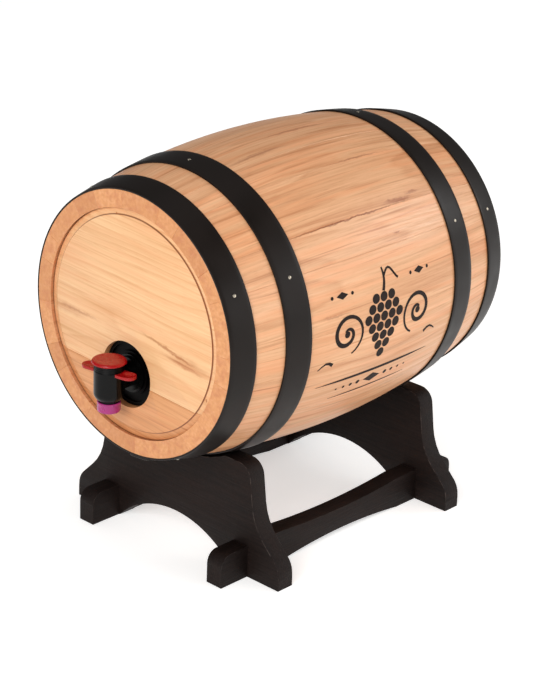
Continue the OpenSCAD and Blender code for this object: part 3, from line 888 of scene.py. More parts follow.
# Rings of painted shade on the heads, each (radius, half width): the step's shadow at the field's edge, and the
# shadow in the gap at the rim.
HEAD_SHADE_RINGS = ((97.8, 0.25), (HEAD_RIM, 0.8))


def kept(finish: Finish) -> Any:
    """A field for a finish, which is built when the finishes are."""
    return field(default_factory=finish.make)


@dataclass
class Finishes:
    """Every finish of the object, made once."""

    staves: Material = kept(LacqueredOak("oak_staves_satin_lacquer", pale="F4C092", deep="BE7846", streak="AC5E20",
                                         ring_mm=6.0, streaky=0.58, blemishes=STAVE_BLEMISHES))
    # Both head finishes carry the rings of painted shade.
    heads: Material = kept(LacqueredOak("oak_heads_satin_lacquer", pale="FBCA96", deep="D9925A", streak="CC8238",
                                        knot="AA5608", ring_mm=4.5, streaky=0.4, blush=0.3,
                                        blemishes=BOARD_BLEMISHES, shade_rings=HEAD_SHADE_RINGS))
    low_board: Material = kept(LacqueredOak("oak_low_board_satin_lacquer", pale="EEAE78", deep="C67F49",
                                            streak="A85E22", ring_mm=4.0, blush=0.3, shade_rings=HEAD_SHADE_RINGS))
    inside: Material = kept(LacqueredOak("oak_inside_planed", Timber.LUMP, roughness=0.6))
    stand: Material = kept(StainedPine("pine_black_stain"))
    hoop: Material = kept(PaintedSteel("steel_strip_black_paint"))
    nail: Material = kept(BrightMetal("steel_zinc_bright", "D8CDB8", 0.35))
    magnet: Material = kept(BrightMetal("steel_nickel_plate", "C9C7C2", 0.2))
    black: Material = kept(MouldedPlastic("polypropylene_black_gloss", "030303", "060505", 0.2, shine=0.16))
    matt_black: Material = kept(MouldedPlastic("polypropylene_black_satin", "030202", "050404", 0.4, shine=0.06))
    red: Material = kept(MouldedPlastic("polypropylene_red", "A80C10", "A80C12", 0.26, glow=0.1, shine=0.4))
    rubber: Material = kept(MouldedPlastic("elastomer_black_satin", "030303", "060505", 0.36, shine=0.14))
    white: Material = kept(MouldedPlastic("polyethylene_white_satin", "DEDCD6", "E8E6E0", 0.45))
    pink: Material = kept(MouldedPlastic("polyethylene_pink_translucent", "C0308A", "C63A92", 0.3,
                                         see_through=0.3, glow=0.4))
    film: Material = kept(BagFilm("polyester_film_metallised"))
    burnt: Material = kept(BurntMark("oak_burnt_mark"))


# ---------------------------------------------------------------- the cask

@dataclass
class Staves:
    """The shell: bent staves with bevelled joints, a groove at each end for the heads, widths that vary."""

    finishes: Finishes
    count: int = 20
    spread: float = 0.34
    shuffle: float = 137.5
    start: float = 39.8
    gap: float = 0.08
    croze_inset: float = 6.0
    croze_w: float = 5.0
    croze_r: float = 109.5
    rear_croze: float = 341.85
    ease: float = 0.16
    facet: float = 2.6
    outer_steps: int = 22
    inner_steps: int = 12
    tones: tuple[float, ...] = (0.62, 0.48, 0.55, 0.40, 0.66, 0.52, 0.44, 0.58, 0.36, 0.60,
                                0.47, 0.56, 0.64, 0.42, 0.50, 0.38, 0.45, 0.30, 0.40, 0.46)

    def edges(self) -> list[float]:
        """Works out where the staves meet.

        Returns:
            Angles of the joints, from the first one up to a full turn above it.
        """
        shares = [1 + self.spread * math.sin(math.radians(i * self.shuffle)) for i in range(1, self.count + 1)]
        edges = [self.start]
        for share in shares:
            edges.append(edges[-1] + 360 * share / sum(shares))
        return edges

    def profile(self) -> list[Vector]:
        """The outline of a stave sawn down its middle.

        Returns:
            Places along the outer arc, the rear end, and the inner arc with both grooves, in metres.
        """
        length, groove = CASK.length, self.croze_inset + self.croze_w
        rear_end = self.rear_croze + self.croze_w
        outer = [length * i / self.outer_steps for i in range(self.outer_steps + 1)]
        inner = [groove + (self.rear_croze - groove) * i / self.inner_steps for i in range(self.inner_steps, -1, -1)]
        pairs = [(CASK.outer(y), y) for y in outer]
        pairs += [(CASK.inner(length), length), (CASK.inner(rear_end), rear_end)]
        pairs += [(self.croze_r, rear_end), (self.croze_r, self.rear_croze)]
        pairs += [(CASK.inner(y), y) for y in inner]
        pairs += [(self.croze_r, groove), (self.croze_r, self.croze_inset)]
        pairs += [(CASK.inner(self.croze_inset), self.croze_inset), (CASK.inner(0), 0)]
        return [CASK.at(0, y, r) for r, y in pairs]

    def build(self) -> None:
        """Models one sawn outline, and spins a copy of it over each stave's width."""
        blank = drawn("stave_blank", self.profile(), True)
        joint = math.degrees(self.gap / CASK.head_r)
        edges = self.edges()
        for number, (low, high) in enumerate(zip(edges, edges[1:]), 1):
            stave = copied(blank, f"stave_{number:02d}_oak")
            width = high - low - joint
            spun(stave, AXLE, BACKWARD, width, max(4, round(width / self.facet)))
            eased(moved(stave, about_axle(low + joint / 2)), self.ease, 1)
            self.lay(stave, number, (low + high) / 2)
            dressed(stave, "cask", self.finishes.staves, "oak_staves", f"stave_{number:02d}")
        bpy.data.objects.remove(blank)

    def lay(self, stave: Piece, number: int, middle: float) -> None:
        """Lays the grain of one stave along its bend, each stave cut from another place in the tree.

        Args:
            stave: the finished mesh.
            number: which stave.
            middle: angle of its middle.
        """
        luck = random.Random(number * 7)
        off = (luck.uniform(-30, 30), luck.uniform(0, 5000), luck.uniform(35, 110) * luck.choice((-1, 1)))

        def place(co: Vector) -> Point:
            """Finds a point's place in the stave.

            Args:
                co: the point, in metres.

            Returns:
                Across, along and depth.
            """
            angle, y, radius = CASK.polar(co)
            turn = (angle - middle + 180) % 360 - 180
            return (math.radians(turn) * radius + off[0], y + off[1], radius - CASK.outer(y) + off[2])

        lay_grain(stave, place, self.tones[number - 1], BACKWARD)


@dataclass(frozen=True)
class Strip:
    """One hoop: its name, where it starts, its width, its first nail and their pitch, and its lap's angle."""

    name: str
    start: float
    width: float
    first_nail: float
    nail_pitch: float
    lap: float


@dataclass
class Hoops:
    """Four bands of black steel strip, lapped and riveted at the left or below, each nailed to the staves."""

    finishes: Finishes
    strips: tuple[Strip, ...] = (
        Strip("front_end", 0.0, 25.0, -67, 94, 282.0), Strip("front_inner", 55.5, 27.5, 27, 64, 186.0),
        Strip("rear_inner", 274.5, 27.5, 27, 64, 186.0), Strip("rear_end", 335.0, 25.0, -67, 94, 282.0))
    thickness: float = 1.6
    seat: float = 0.1
    lap_turn: float = 11.46
    lap_sunk: float = 0.6
    rivet: tuple[float, float, float] = (2.6, 1.0, 1.0)
    nail: tuple[float, float, float] = (1.6, 0.55, 0.4)
    nail_count: int = 4
    ease: float = 0.3

    def band(self, strip: Strip, low: float, high: float) -> list[Vector]:
        """The section of a strip, bent to the staves.

        Args:
            strip: the hoop.
            low: height of its inner face over the wood.
            high: height of its outer face.

        Returns:
            The outline, in metres.
        """
        stations = [strip.start + strip.width * i / 6 for i in range(7)]
        return ([CASK.at(0, y, CASK.outer(y, high)) for y in stations]
                + [CASK.at(0, y, CASK.outer(y, low)) for y in reversed(stations)])

    def dome(self, name: str, radius: float, height: float, foot: float) -> Piece:
        """A domed head, turned upright at the frame's origin, standing on a foot below it."""
        arc = [(radius * math.cos(math.radians(a)), height * math.sin(math.radians(a))) for a in (0, 22, 45, 68)]
        return turned(name, [(0, -foot), (radius, -foot), *arc, (0, height)], Vector(), steps=20)

    def on_wood(self, angle: float, y: float, above: float) -> Matrix:
        """Places an upright piece square on the wood.

        Args:
            angle: where it goes round the cask.
            y: where it goes along the cask.
            above: its height over the wood.

        Returns:
            The move from the frame's origin.
        """
        slope = math.atan2(CASK.outer(y + 1) - CASK.outer(y - 1), 2)
        spot = CASK.at(angle, y, CASK.outer(y, above))
        return (Matrix.Translation(spot) @ Matrix.Rotation(-math.radians(angle), 4, "Y")
                @ Matrix.Rotation(math.radians(90), 4, "Y") @ Matrix.Rotation(slope, 4, "X"))

    def build(self) -> None:
        """Bends and laps each strip, rivets it and drives its nails."""
        rivet, nail = self.dome("rivet", *self.rivet), self.dome("nail", *self.nail)
        top = self.seat + self.thickness
        for strip in self.strips:
            name, middle = f"hoop_{strip.name}_strip", strip.start + strip.width / 2
            ring = self.band(strip, self.seat, top)
            hoop = spun(drawn(name, [*ring, ring[0]]), AXLE, BACKWARD, 360, 144)
            end = self.band(strip, top - self.lap_sunk, top + self.thickness)
            lap = moved(spun(drawn("lap", end, True), AXLE, -BACKWARD, self.lap_turn, 6), about_axle(strip.lap))
            rivets = [moved(copied(rivet, "rivet_copy"), self.on_wood(
                strip.lap - self.lap_turn / 2, middle + side * strip.width / 4, top + self.thickness))
                for side in (-1, 1)]
            whole = eased(joined(name, [hoop, lap, *rivets]), self.ease, 2, 40)
            dressed(whole, "cask", self.finishes.hoop, "black_steel", f"hoop_{strip.name}")
            turns = [strip.first_nail + i * strip.nail_pitch for i in range(self.nail_count)]
            heads = [moved(copied(nail, "nail_copy"), self.on_wood(turn, middle, top)) for turn in turns]
            pins = smoothed(joined(f"nails_{strip.name}_heads", heads), 40)
            dressed(pins, "cask", self.finishes.nail, "nail_steel", f"nails_{strip.name}")
        bpy.data.objects.remove(rivet)
        bpy.data.objects.remove(nail)


@dataclass
class Heads:
    """The tapped front head and the rear lid, each of two boards with a raised field, a step and a bevel."""

    finishes: Finishes
    field_r: float = 97.6
    step: float = 1.1
    bevel: float = 1.0
    recess: float = 1.9
    thickness: float = 11.0
    hole_r: float = 30.5
    tongue_r: float = 109.35
    tongue: Pair = (6.15, 10.85)
    shoulder: float = 1.35
    seam: float = -53.0
    tilt: float = 3.3
    board_gap: float = 0.4
    ease: float = 0.35
    lid_face: float = 358.0
    lid_back: float = 349.0
    lid_gap: float = 0.4
    lid_seam: float = 8.0
    finger_r: float = 14.0
    finger_up: float = 52.0

    def boards(self, disc: Piece, names: tuple[str, str], seam: float, tilt: float) -> list[Piece]:
        """Saws a disc in two along its joint.

        Args:
            disc: the turned disc.
            names: names of the upper and lower board.
            seam: height of the joint above the axis.
            tilt: its slope, down to the right.

        Returns:
            The upper and the lower board.
        """
        across = Vector((math.sin(math.radians(tilt)), 0, math.cos(math.radians(tilt))))
        made = []
        for name, side in zip(names, (1, -1)):
            board = copied(disc, name)
            spot = (Vector((0, FRONT_Y, AXIS_Z + seam)) + across * side * self.board_gap / 2) * MM
            with editing(board):
                bpy.ops.mesh.bisect(plane_co=spot, plane_no=across * side, use_fill=True, clear_inner=True)
            made.append(eased(board, self.ease, 2, 30))
        bpy.data.objects.remove(disc)
        return made

    def grain(self, board: Piece, tilt: float, tone: float, off: Point) -> None:
        """Lays a board's grain along its joint.

        Args:
            board: the board.
            tilt: the joint's slope.
            tone: how dark the board is.
            off: where in the tree it is cut from.
        """
        turn = math.radians(tilt)
        lay_grain(board, lambda co: (
            (co.x * math.sin(turn) + (co.z - AXIS_Z * MM) * math.cos(turn)) / MM + off[0],
            (co.x * math.cos(turn) - (co.z - AXIS_Z * MM) * math.sin(turn)) / MM + off[1],
            co.y / MM - FRONT_Y + off[2]), tone, ACROSS)

    def bore(self, x: float, z: float, radius: float, start: float, end: float, steps: int) -> Piece:
        """A rod that cuts a hole along the cask, with its place, radius, both ends and number of sides."""
        centre = Vector((x, FRONT_Y, z)) * MM
        return turned("bore", [(0, start), (radius, start), (radius, end), (0, end)], centre, BACKWARD, steps)

    def front(self) -> None:
        """Turns, drills and saws the front head."""
        (near, far), low = self.tongue, self.recess + self.step
        back, inner = self.recess + self.thickness, CASK.inner(far) - self.shoulder
        disc = turned("front_head_disc", [
            (0, self.recess), (self.field_r, self.recess), (self.field_r, low), (HEAD_RIM, low + self.bevel),
            (HEAD_RIM, near), (self.tongue_r, near), (self.tongue_r, far), (inner, far), (inner, back), (0, back)],
            AXLE, BACKWARD, 144)
        cut(disc, self.bore(TAP.x, TAP.z, self.hole_r, -5, 30, 96))
        upper, lower = self.boards(disc, ("front_head_board_upper", "front_head_board_lower"), self.seam, self.tilt)
        self.grain(upper, self.tilt, 0.12, (60, 300, 120))
        self.grain(lower, self.tilt, 0.45, (-40, 1300, -70))
        dressed(upper, "cask", self.finishes.heads, "oak_heads", "front_head_upper")
        dressed(lower, "cask", self.finishes.low_board, "oak_heads", "front_head_lower")

    def lid(self) -> None:
        """Turns, drills and saws the rear lid."""
        edge, face, low = CASK.inner(CASK.length) - self.lid_gap, self.lid_face, self.lid_face - self.step
        disc = turned("lid_disc", [(0, self.lid_back), (edge, self.lid_back), (edge, low - self.bevel),
                                   (self.field_r, low), (self.field_r, face), (0, face)], AXLE, BACKWARD, 144)
        cut(disc, self.bore(0, AXIS_Z + self.finger_up, self.finger_r, 330, 380, 64))
        upper, lower = self.boards(disc, ("lid_board_upper", "lid_board_lower"), self.lid_seam, 0)
        self.grain(upper, 0, 0.45, (10, 2300, 90))
        self.grain(lower, 0, 0.25, (35, 3300, -120))
        dressed(upper, "lid", self.finishes.heads, "oak_heads", "lid_upper")
        dressed(lower, "lid", self.finishes.heads, "oak_heads", "lid_lower")

    def build(self) -> None:
        """Builds the front head and the lid."""
        self.front()
        self.lid()


@dataclass
class BurntOrnament:
    """A burnt-in ornament on the cask's right side: a bunch of grapes between scrolls, over a rule with a lozenge.

    It is drawn flat, s along the cask and t round it from its middle, and then wrapped on the wood.
    """

    finishes: Finishes
    middle_y: float = 171.5
    middle_angle: float = -1.0
    above: float = 0.1
    grape_r: float = 4.6
    grape_gap: float = 0.9
    row_pitch: float = 0.88
    rows: tuple[int, ...] = (3, 4, 5, 4, 3, 2, 1)

    def disc(self, s: float, t: float, radius: float, sides: int = 16) -> Piece:
        """A filled disc.

        Args:
            s: its middle along the cask.
            t: its middle round the cask.
            radius: its radius.
            sides: its number of sides.

        Returns:
            The disc.
        """
        take()
        bpy.ops.mesh.primitive_circle_add(vertices=sides, radius=radius * MM, fill_type="NGON",
                                          location=(s * MM, t * MM, 0))
        piece = named("dot")
        with editing(piece, "FACE"):
            bpy.ops.mesh.inset(thickness=radius * 0.45 * MM)
            bpy.ops.mesh.poke()
        return piece

    def ribbon(self, spine: Sequence[tuple[float, float, float]]) -> Piece:
        """A flat band along a line.

        Args:
            spine: (s, t, half width) from end to end.

        Returns:
            The band.
        """
        points = [Vector((s, t, 0)) for s, t, _ in spine]
        sides: list[list[Vector]] = [[], []]
        for number, (here, (_, _, half)) in enumerate(zip(points, spine)):
            way = (points[min(number + 1, len(points) - 1)] - points[max(number - 1, 0)]).normalized()
            across = Vector((-way.y, way.x, 0)) * half
            sides[0].append((here + across) * MM)
            sides[1].append((here - across) * MM)
        band = joined("band", [drawn("edge", side) for side in sides])
        with editing(band, "EDGE"):
            bpy.ops.mesh.bridge_edge_loops()
        return band

    def scroll(self, side: int) -> list[Piece]:
        """A spiral that opens from the rule towards the bunch, with a ball in its eye and a curl below.

        Args:
            side: -1 for the one nearer the tap, 1 for the other.

        Returns:
            Its pieces.
        """
        spine = []
        for i in range(46):
            s, t = ray(21.0 * (1 - i / 56) ** 1.15, -70 + i * 12.5)
            spine.append((side * (46 - s), 2 + t, 0.6 + 1.5 * math.sin(math.pi * (i + 3) / 52)))
        tail = [(side * (60 + 4.2 * i), -24 + 3.4 * math.sin(i * 0.9), max(0.5, 1.7 - 0.3 * i)) for i in range(5)]
        return [self.ribbon(spine), self.ribbon(tail), self.disc(side * 46, 2.0, 3.2)]

    def lozenge(self, s: float, t: float, half_s: float, half_t: float) -> Piece:
        """A pointed lozenge.

        Args:
            s: its middle along the cask.
            t: its middle round the cask.
            half_s: half its length.
            half_t: half its width.

        Returns:
            The lozenge.
        """
        corners = [(half_s, 0), (0, half_t), (-half_s, 0), (0, -half_t)]
        piece = drawn("lozenge", [Vector((s + a, t + b, 0)) * MM for a, b in corners], True)
        with editing(piece, "FACE"):
            bpy.ops.mesh.poke()
            bpy.ops.mesh.subdivide(number_cuts=2)
        return piece

    def line(self, t: float, reach: float, half: float) -> Piece:
        """A straight rule that thins to its ends, parallel to the cask's axis."""
        return self.ribbon([(reach * i / 12, t, max(0.25, half * (1 - abs(i / 12) ** 3))) for i in range(-12, 13)])

    def motifs(self) -> list[Piece]:
        """Draws grapes, stalk and tendril, both scrolls with a small lozenge above, the rules and what they hold.

        Returns:
            The flat pieces.
        """
        pitch = self.grape_r * 2 + self.grape_gap
        pieces = [self.disc((i - (count - 1) / 2) * pitch, 26 - row * pitch * self.row_pitch, self.grape_r)
                  for row, count in enumerate(self.rows) for i in range(count)]
        pieces.append(self.ribbon([(2.5 * math.sin(i / 3), 31 + 2.6 * i, 1.8 - 0.1 * i) for i in range(9)]))
        pieces.append(self.ribbon([(3 + 2.2 * i, 44 + 6 * math.sin(i * 0.55), 1.1) for i in range(9)]))
        for side in (-1, 1):
            pieces += self.scroll(side)
            pieces += [self.lozenge(side * 50, 38, 7, 3.4), *(self.disc(side * s, 38, 1.7, 10) for s in (62, 38))]
        pieces += [self.line(-45, 73, 1.5), self.line(-65, 50, 0.8), self.lozenge(0, -55, 11, 5)]
        return pieces + [self.disc(side * (18 + 9 * i), -55, 2.3 - 0.4 * i, 12) for side in (-1, 1) for i in range(4)]

    def build(self) -> None:
        """Draws the motifs flat, joins them and wraps them on the wood."""
        mark = joined("burnt_ornament", self.motifs())
        for vertex in mark.data.vertices:
            y = self.middle_y + vertex.co.x / MM
            angle = self.middle_angle + math.degrees(vertex.co.y / MM / CASK.outer(y))
            vertex.co = CASK.at(angle, y, CASK.outer(y, self.above))
        with editing(mark):
            face_outward()
        for face in mark.data.polygons:
            if face.normal.x < 0:
                face.flip()
        dressed(mark, "cask", self.finishes.burnt, "oak_staves")


# ---------------------------------------------------------------- the tap and the bag

@dataclass
class PressTap:
    """The bag's tap: red wings and button, rubber boot and a pink cap. Heights count from its level axis."""

    finishes: Finishes
    button_r: float = 15.5
    button_low: float = 17.5
    button_round: float = 2.0
    hub: tuple[float, float, float] = (2.6, 4.0, 14.9)
    hollow_r: float = 13.3
    hollow: float = 0.48
    boot_r: float = 13.5
    boot_low: float = 10.75
    fold: float = 0.35
    wing_reach: float = 28.0
    wing_half: float = 7.0
    wing_low: float = 7.8
    wing_t: float = 2.8
    wing_turn: float = 10.0
    disc_r: float = 11.0
    dish: float = 1.6
    dish_r: float = 12.81
    cap_profile: tuple[Pair, ...] = (
        (0, -28.4), (8.7, -28.4), (9.8, -28.0), (10.35, -27.1), (10.4, -26.0), (10.35, -20.6), (10.5, -20.4),
        (10.5, -19.2), (10.2, -18.9), (9.4, -18.9), (9.2, -19.2), (9.2, -27.2), (0, -27.2))

    @property
    def centre(self) -> Vector:
        """Where the tap's upright axis crosses its level one, in metres."""
        return TAP * MM

    def button(self) -> None:
        """The round button: dished top, rolled edge, hub below."""
        stem_r, hub_r, hub_low = self.hub
        under, bend = self.button_low + 0.6, self.button_round
        lip = [(self.button_r - bend + x, under + z) for x, z in (ray(bend, a) for a in range(0, 91, 15))]
        hollow = [(self.hollow_r * (1 - i / 7), under + 1.5 + self.hollow * (1 - i / 7) ** 2) for i in range(1, 8)]
        profile = [(0, under), (stem_r, under), (stem_r, hub_low), (hub_r, hub_low), (hub_r, self.button_low),
                   (self.button_r - 0.3, self.button_low), (self.button_r, self.button_low + 0.3), *lip, *hollow]
        piece = smoothed(turned("button_disc", profile, self.centre, steps=80), 35)
        dressed(piece, "button", self.finishes.red, "red_plastic", "press_button")

    def boot(self) -> None:
        """The rubber boot with two folds, turned at rest; the real boot flattens when the button is pressed."""
        low, wall = self.boot_low, self.boot_r - 1.1
        folds = [(self.boot_r - self.fold * math.sin(math.pi * i / 3) ** 2, low + 0.55 * i) for i in range(12)]
        profile = [*folds, (13.1, 17.35), (4.2, 17.35), (4.2, 16.2), (wall, 16.2), (wall, low)]
        piece = smoothed(turned("boot_sleeve", profile, self.centre, ring=True), 50)
        dressed(piece, "cask", self.finishes.rubber, "black_rubber", "button_boot")
        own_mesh(piece)

    def wings(self) -> None:
        """The finger wings: one plate through the body, each wing hollowed to a dish."""
        turn = Matrix.Rotation(math.radians(self.wing_turn), 3, "Z")
        tip = self.wing_reach - self.wing_half
        meet = math.degrees(math.asin(self.wing_half / self.disc_r))
        outline = [(tip + x, y) for x, y in (ray(self.wing_half, a) for a in range(-90, 91, 12))]
        outline += [ray(self.disc_r, meet + i * (180 - 2 * meet) / 8) for i in range(9)]
        outline += [(-x, -y) for x, y in outline]
        base = self.centre + Vector((0, 0, self.wing_low)) * MM
        plate = plated("finger_wings_plate", [base + turn @ Vector((x, y, 0)) * MM for x, y in outline],
                       Vector((0, 0, self.wing_t * MM)))
        for side in (-1, 1):
            height = self.wing_low + self.wing_t - self.dish + self.dish_r
            ball = self.centre + turn @ Vector((side * tip, 0, height)) * MM
            arc = [ray(self.dish_r, a) for a in range(-90, 91, 6)]
            arc[0], arc[-1] = (0, -self.dish_r), (0, self.dish_r)
            cut(plate, turned("dish", arc, ball))
        stem_r = self.hub[0]
        cut(plate, turned("stem_hole", [(0, 0), (stem_r, 0), (stem_r, 20), (0, 20)], self.centre, steps=32))
        dressed(eased(plate, 0.35, 2, 35), "cask", self.finishes.red, "red_plastic", "finger_wings")

    def cap(self) -> None:
        """The pull-off cap: a thin cup with a rolled rim and a softened foot."""
        piece = smoothed(turned("nozzle_cap_cup", self.cap_profile, self.centre), 40)
        dressed(piece, "cap", self.finishes.pink, "pink_plastic", "nozzle_cap")

    def build(self) -> None:
        """Builds what shows of the tap beside its body."""
        self.button()
        self.boot()
        self.wings()
        self.cap()


@dataclass
class WineBag:
    """The filled bag, slumped on the lower staves, with a welded seam at each end."""

    finishes: Finishes
    front: float = 24.0
    rear: float = 326.0
    top: float = -17.0
    sag: float = 20.0
    middle: float = -70.0
    seam: float = 0.12
    clear: float = 3.5
    wrinkle: float = 2.2
    stations: int = 40
    sides: int = 64

    def section(self, y: float, part: float) -> Vector:
        """A point on the bag's skin.

        Args:
            y: distance from the front end.
            part: how far round the section, 0 to 1.

        Returns:
            The point in metres.
        """
        share = min(1.0, max(0.0, (y - self.front) / (self.rear - self.front)))
        full = min(1.0, 4.2 * min(share, 1 - share)) ** 0.45
        radius = CASK.inner(y) - self.clear
        x, z = ray(radius, 360 * part)
        level = self.top - self.sag * (1 - full)
        if z > level:
            z = level + 2.0 * math.sin(math.pi * (z - level) / (radius - level))
        z = self.middle + (z - self.middle) * (self.seam + (1 - self.seam) * full)
        fold = noise.noise(Vector((x / 26, y / 18, z / 26))) * self.wrinkle * (1 if z > level - 20 else 0.35)
        return Vector((x * (0.985 - 0.02 * (1 - full)), FRONT_Y + y, AXIS_Z + z + min(0.0, fold))) * MM

    def build(self) -> None:
        """Lofts the skin from ring to ring, closes its ends with flat seams and smooths it."""
        take()
        bpy.ops.mesh.primitive_circle_add(vertices=self.sides, radius=90 * MM, location=CASK.at(0, self.front, 0),
                                          rotation=(math.pi / 2, 0, 0))
        skin = named("bag_of_film")
        step = (self.rear - self.front) / self.stations
        with editing(skin, "EDGE"):
            bpy.ops.mesh.edge_face_add()
            for _ in range(self.stations):
                bpy.ops.mesh.extrude_region_move(TRANSFORM_OT_translate={"value": (0, step * MM, 0)})
        for vertex in skin.data.vertices:
            angle, y, _ = CASK.polar(vertex.co)
            vertex.co = self.section(y, (angle % 360) / 360)
        with editing(skin):
            face_outward()
        modified(skin, "SUBSURF", levels=1, render_levels=1)
        bpy.ops.object.shade_smooth()
        dressed(skin, "cask", self.finishes.film, "bag_film", "wine_bag")


# ---------------------------------------------------------------- the stand

@dataclass
class Stand:
    """Two hollowed cradles and two rails of black-stained board, halved into each other."""

    finishes: Finishes
    board: float = 18.0
    fronts: Pair = (58.4, 290.2)
    saddle_gap: float = 2.0
    arch: Pair = (74.0, 31.7)
    foot: Pair = (131.0, 20.6)
    shoulder: Pair = (91.4, 108.53)
    side_lean: float = 7.5
    foot_lean: float = 45.0
    foot_round: float = 20.0
    waist_round: float = 53.0
    shoulder_round: float = 14.5
    rail_x: float = 83.8
    rail_t: float = 18.0
    rail_h: float = 30.5
    rail_reach: float = 33.0
    rail_round: float = 11.0
    waist_half: float = 80.0
    rail_rise: float = 5.5
    rail_dip: float = 4.0
    halving: float = 16.0
    slack: float = 0.15
    slot_zone: tuple[float, float, float] = (70.0, 96.0, 17.0)
    edge_round: float = 1.7
    tone: float = 0.5

    def fillet(self, corner: Point, one: Point, other: Point, radius: float) -> list[Pair]:
        """Points of the arc that rounds a corner.

        Args:
            corner: where the two edges meet.
            one: direction from the corner along the edge that the arc starts on.
            other: direction along the edge that it ends on.
            radius: the arc's radius.

        Returns:
            The points, in order.
        """
        a, b, c = Vector(one).normalized(), Vector(other).normalized(), Vector(corner)
        half = a.angle(b) / 2
        hub = c + (a + b).normalized() * radius / math.sin(half)
        first = c + a * radius / math.tan(half) - hub
        last = c + b * radius / math.tan(half) - hub
        sweep = first.angle_signed(last)
        count = max(3, round(abs(math.degrees(sweep)) / 9))
        turns = [-sweep * i / count for i in range(count + 1)]
        return [(hub.x + first.x * math.cos(turn) - first.y * math.sin(turn),
                 hub.y + first.x * math.sin(turn) + first.y * math.cos(turn)) for turn in turns]

    def cradle_outline(self, saddle_r: float) -> list[Pair]:
        """The cradle's outline, floor at 0, from the middle of its arch round the right-hand side and back.

        Args:
            saddle_r: radius of the hollow that the cask lies in.

        Returns:
            The points.
        """
        side, slope = (Vector((math.sin(math.radians(a)), -math.cos(math.radians(a))))
                       for a in (self.side_lean, self.foot_lean))
        foot, shoulder = Vector(self.foot), Vector(self.shoulder)
        gap = foot - shoulder
        run = (gap.x * slope.y - gap.y * slope.x) / (side.x * slope.y - side.y * slope.x)
        arch_x, arch_h = self.arch
        arch_r = (arch_x ** 2 + arch_h ** 2) / (2 * arch_h)
        end = math.asin(arch_x / arch_r)
        half = [(arch_r * math.sin(end * i / 14), arch_h - arch_r + arch_r * math.cos(end * i / 14))
                for i in range(1, 15)]
        low, high = self.rail_x - self.rail_t / 2 - self.slack, self.rail_x + self.rail_t / 2 + self.slack
        top = self.halving + self.slack
        half += [(low, 0.0), (low, top), (high, top), (high, 0.0), (foot.x, 0.0)]
        half += self.fillet(foot, (0, -1), -slope, self.foot_round)
        half += self.fillet(shoulder + side * run, slope, -side, self.waist_round)
        half += self.fillet(shoulder, side, (-1, 0), self.shoulder_round)
        drop = AXIS_Z - shoulder.y
        start = math.degrees(math.asin(math.sqrt(saddle_r ** 2 - drop ** 2) / saddle_r))
        for i in range(20, 0, -1):
            turn = math.radians(start * i / 20)
            half.append((saddle_r * math.sin(turn), AXIS_Z - saddle_r * math.cos(turn)))
        return [(0.0, arch_h), *half, (0.0, AXIS_Z - saddle_r), *[(-x, z) for x, z in reversed(half)]]

    def rail_outline(self) -> list[Pair]:
        """The rail's outline: bowed underside, rounded ends, both slots and the dip between them.

        Returns:
            The points, each (distance from the cask's front end, height).
        """
        (front, rear), high, reach = self.fronts, self.rail_h, self.waist_half
        start, end = front - self.rail_reach, rear + self.board + self.rail_reach
        mid = (front + self.board + rear) / 2
        parts = [i / 10 for i in range(-10, 11)]
        rise = [(mid + reach * part, self.rail_rise * (1 - part ** 2)) for part in parts]
        dip = [(mid + reach * part, high - self.rail_dip * (1 - part ** 2)) for part in reversed(parts)]

        def slot(y: float) -> list[Pair]:
            """The slot for a cradle, from its rear to its front."""
            near, far = y - self.slack, y + self.board + self.slack
            return [(far, high), (far, self.halving), (near, self.halving), (near, high)]

        return [(start, 0), *rise, (end, 0), *self.fillet((end, high), (0, -1), (-1, 0), self.rail_round),
                *slot(rear), *dip, *slot(front), *self.fillet((start, high), (1, 0), (0, -1), self.rail_round)]

    def sawn(self, name: str, outline: Sequence[Vector], way: Vector, keep: Callable[[Vector], bool]) -> Piece:
        """A board sawn to an outline, its showing edges rounded over.

        Args:
            name: the piece's name.
            outline: the outline, in metres.
            way: the thickness, as a vector in metres.
            keep: whether a point lies on an edge that stays sharp.

        Returns:
            The board.
        """
        piece, flat = plated(name, outline, way), way.normalized()
        with editing(piece, "EDGE"):
            bpy.ops.mesh.select_all(action="DESELECT")
            mesh = bmesh.from_edit_mesh(piece.data)
            for edge in mesh.edges:
                one, other = (v.co for v in edge.verts)
                if abs((one - other).normalized().dot(flat)) < 0.5 and not (keep(one) or keep(other)):
                    edge.select_set(True)
            bmesh.update_edit_mesh(piece.data)
            bpy.ops.mesh.bevel(offset=self.edge_round * MM, segments=3, affect="EDGES", clamp_overlap=True)
        return smoothed(piece, 32)

    def cradle(self, name: str, front: float, over: float, number: int) -> None:
        """Saws one cradle, its grain level.

        Args:
            name: the node's name.
            front: distance of its front face from the cask's front end.
            over: where along the cask the hollow touches it.
            number: which board of the stand it is.
        """
        saddle_r = CASK.outer(over) + self.saddle_gap
        outline = [Vector((x, FRONT_Y + front, z)) * MM for x, z in self.cradle_outline(saddle_r)]
        near, far, top = self.slot_zone
        piece = self.sawn(f"{name}_board", outline, BACKWARD * self.board * MM,
                          lambda co: co.z < 0.5 * MM or (co.z < top * MM and near * MM < abs(co.x) < far * MM))
        lay_grain(piece, lambda co: (co.z / MM + 40 * number, co.x / MM + 900 * number, co.y / MM),
                  self.tone, ACROSS, BACKWARD)
        dressed(piece, "stand", self.finishes.stand, "black_wood", name)

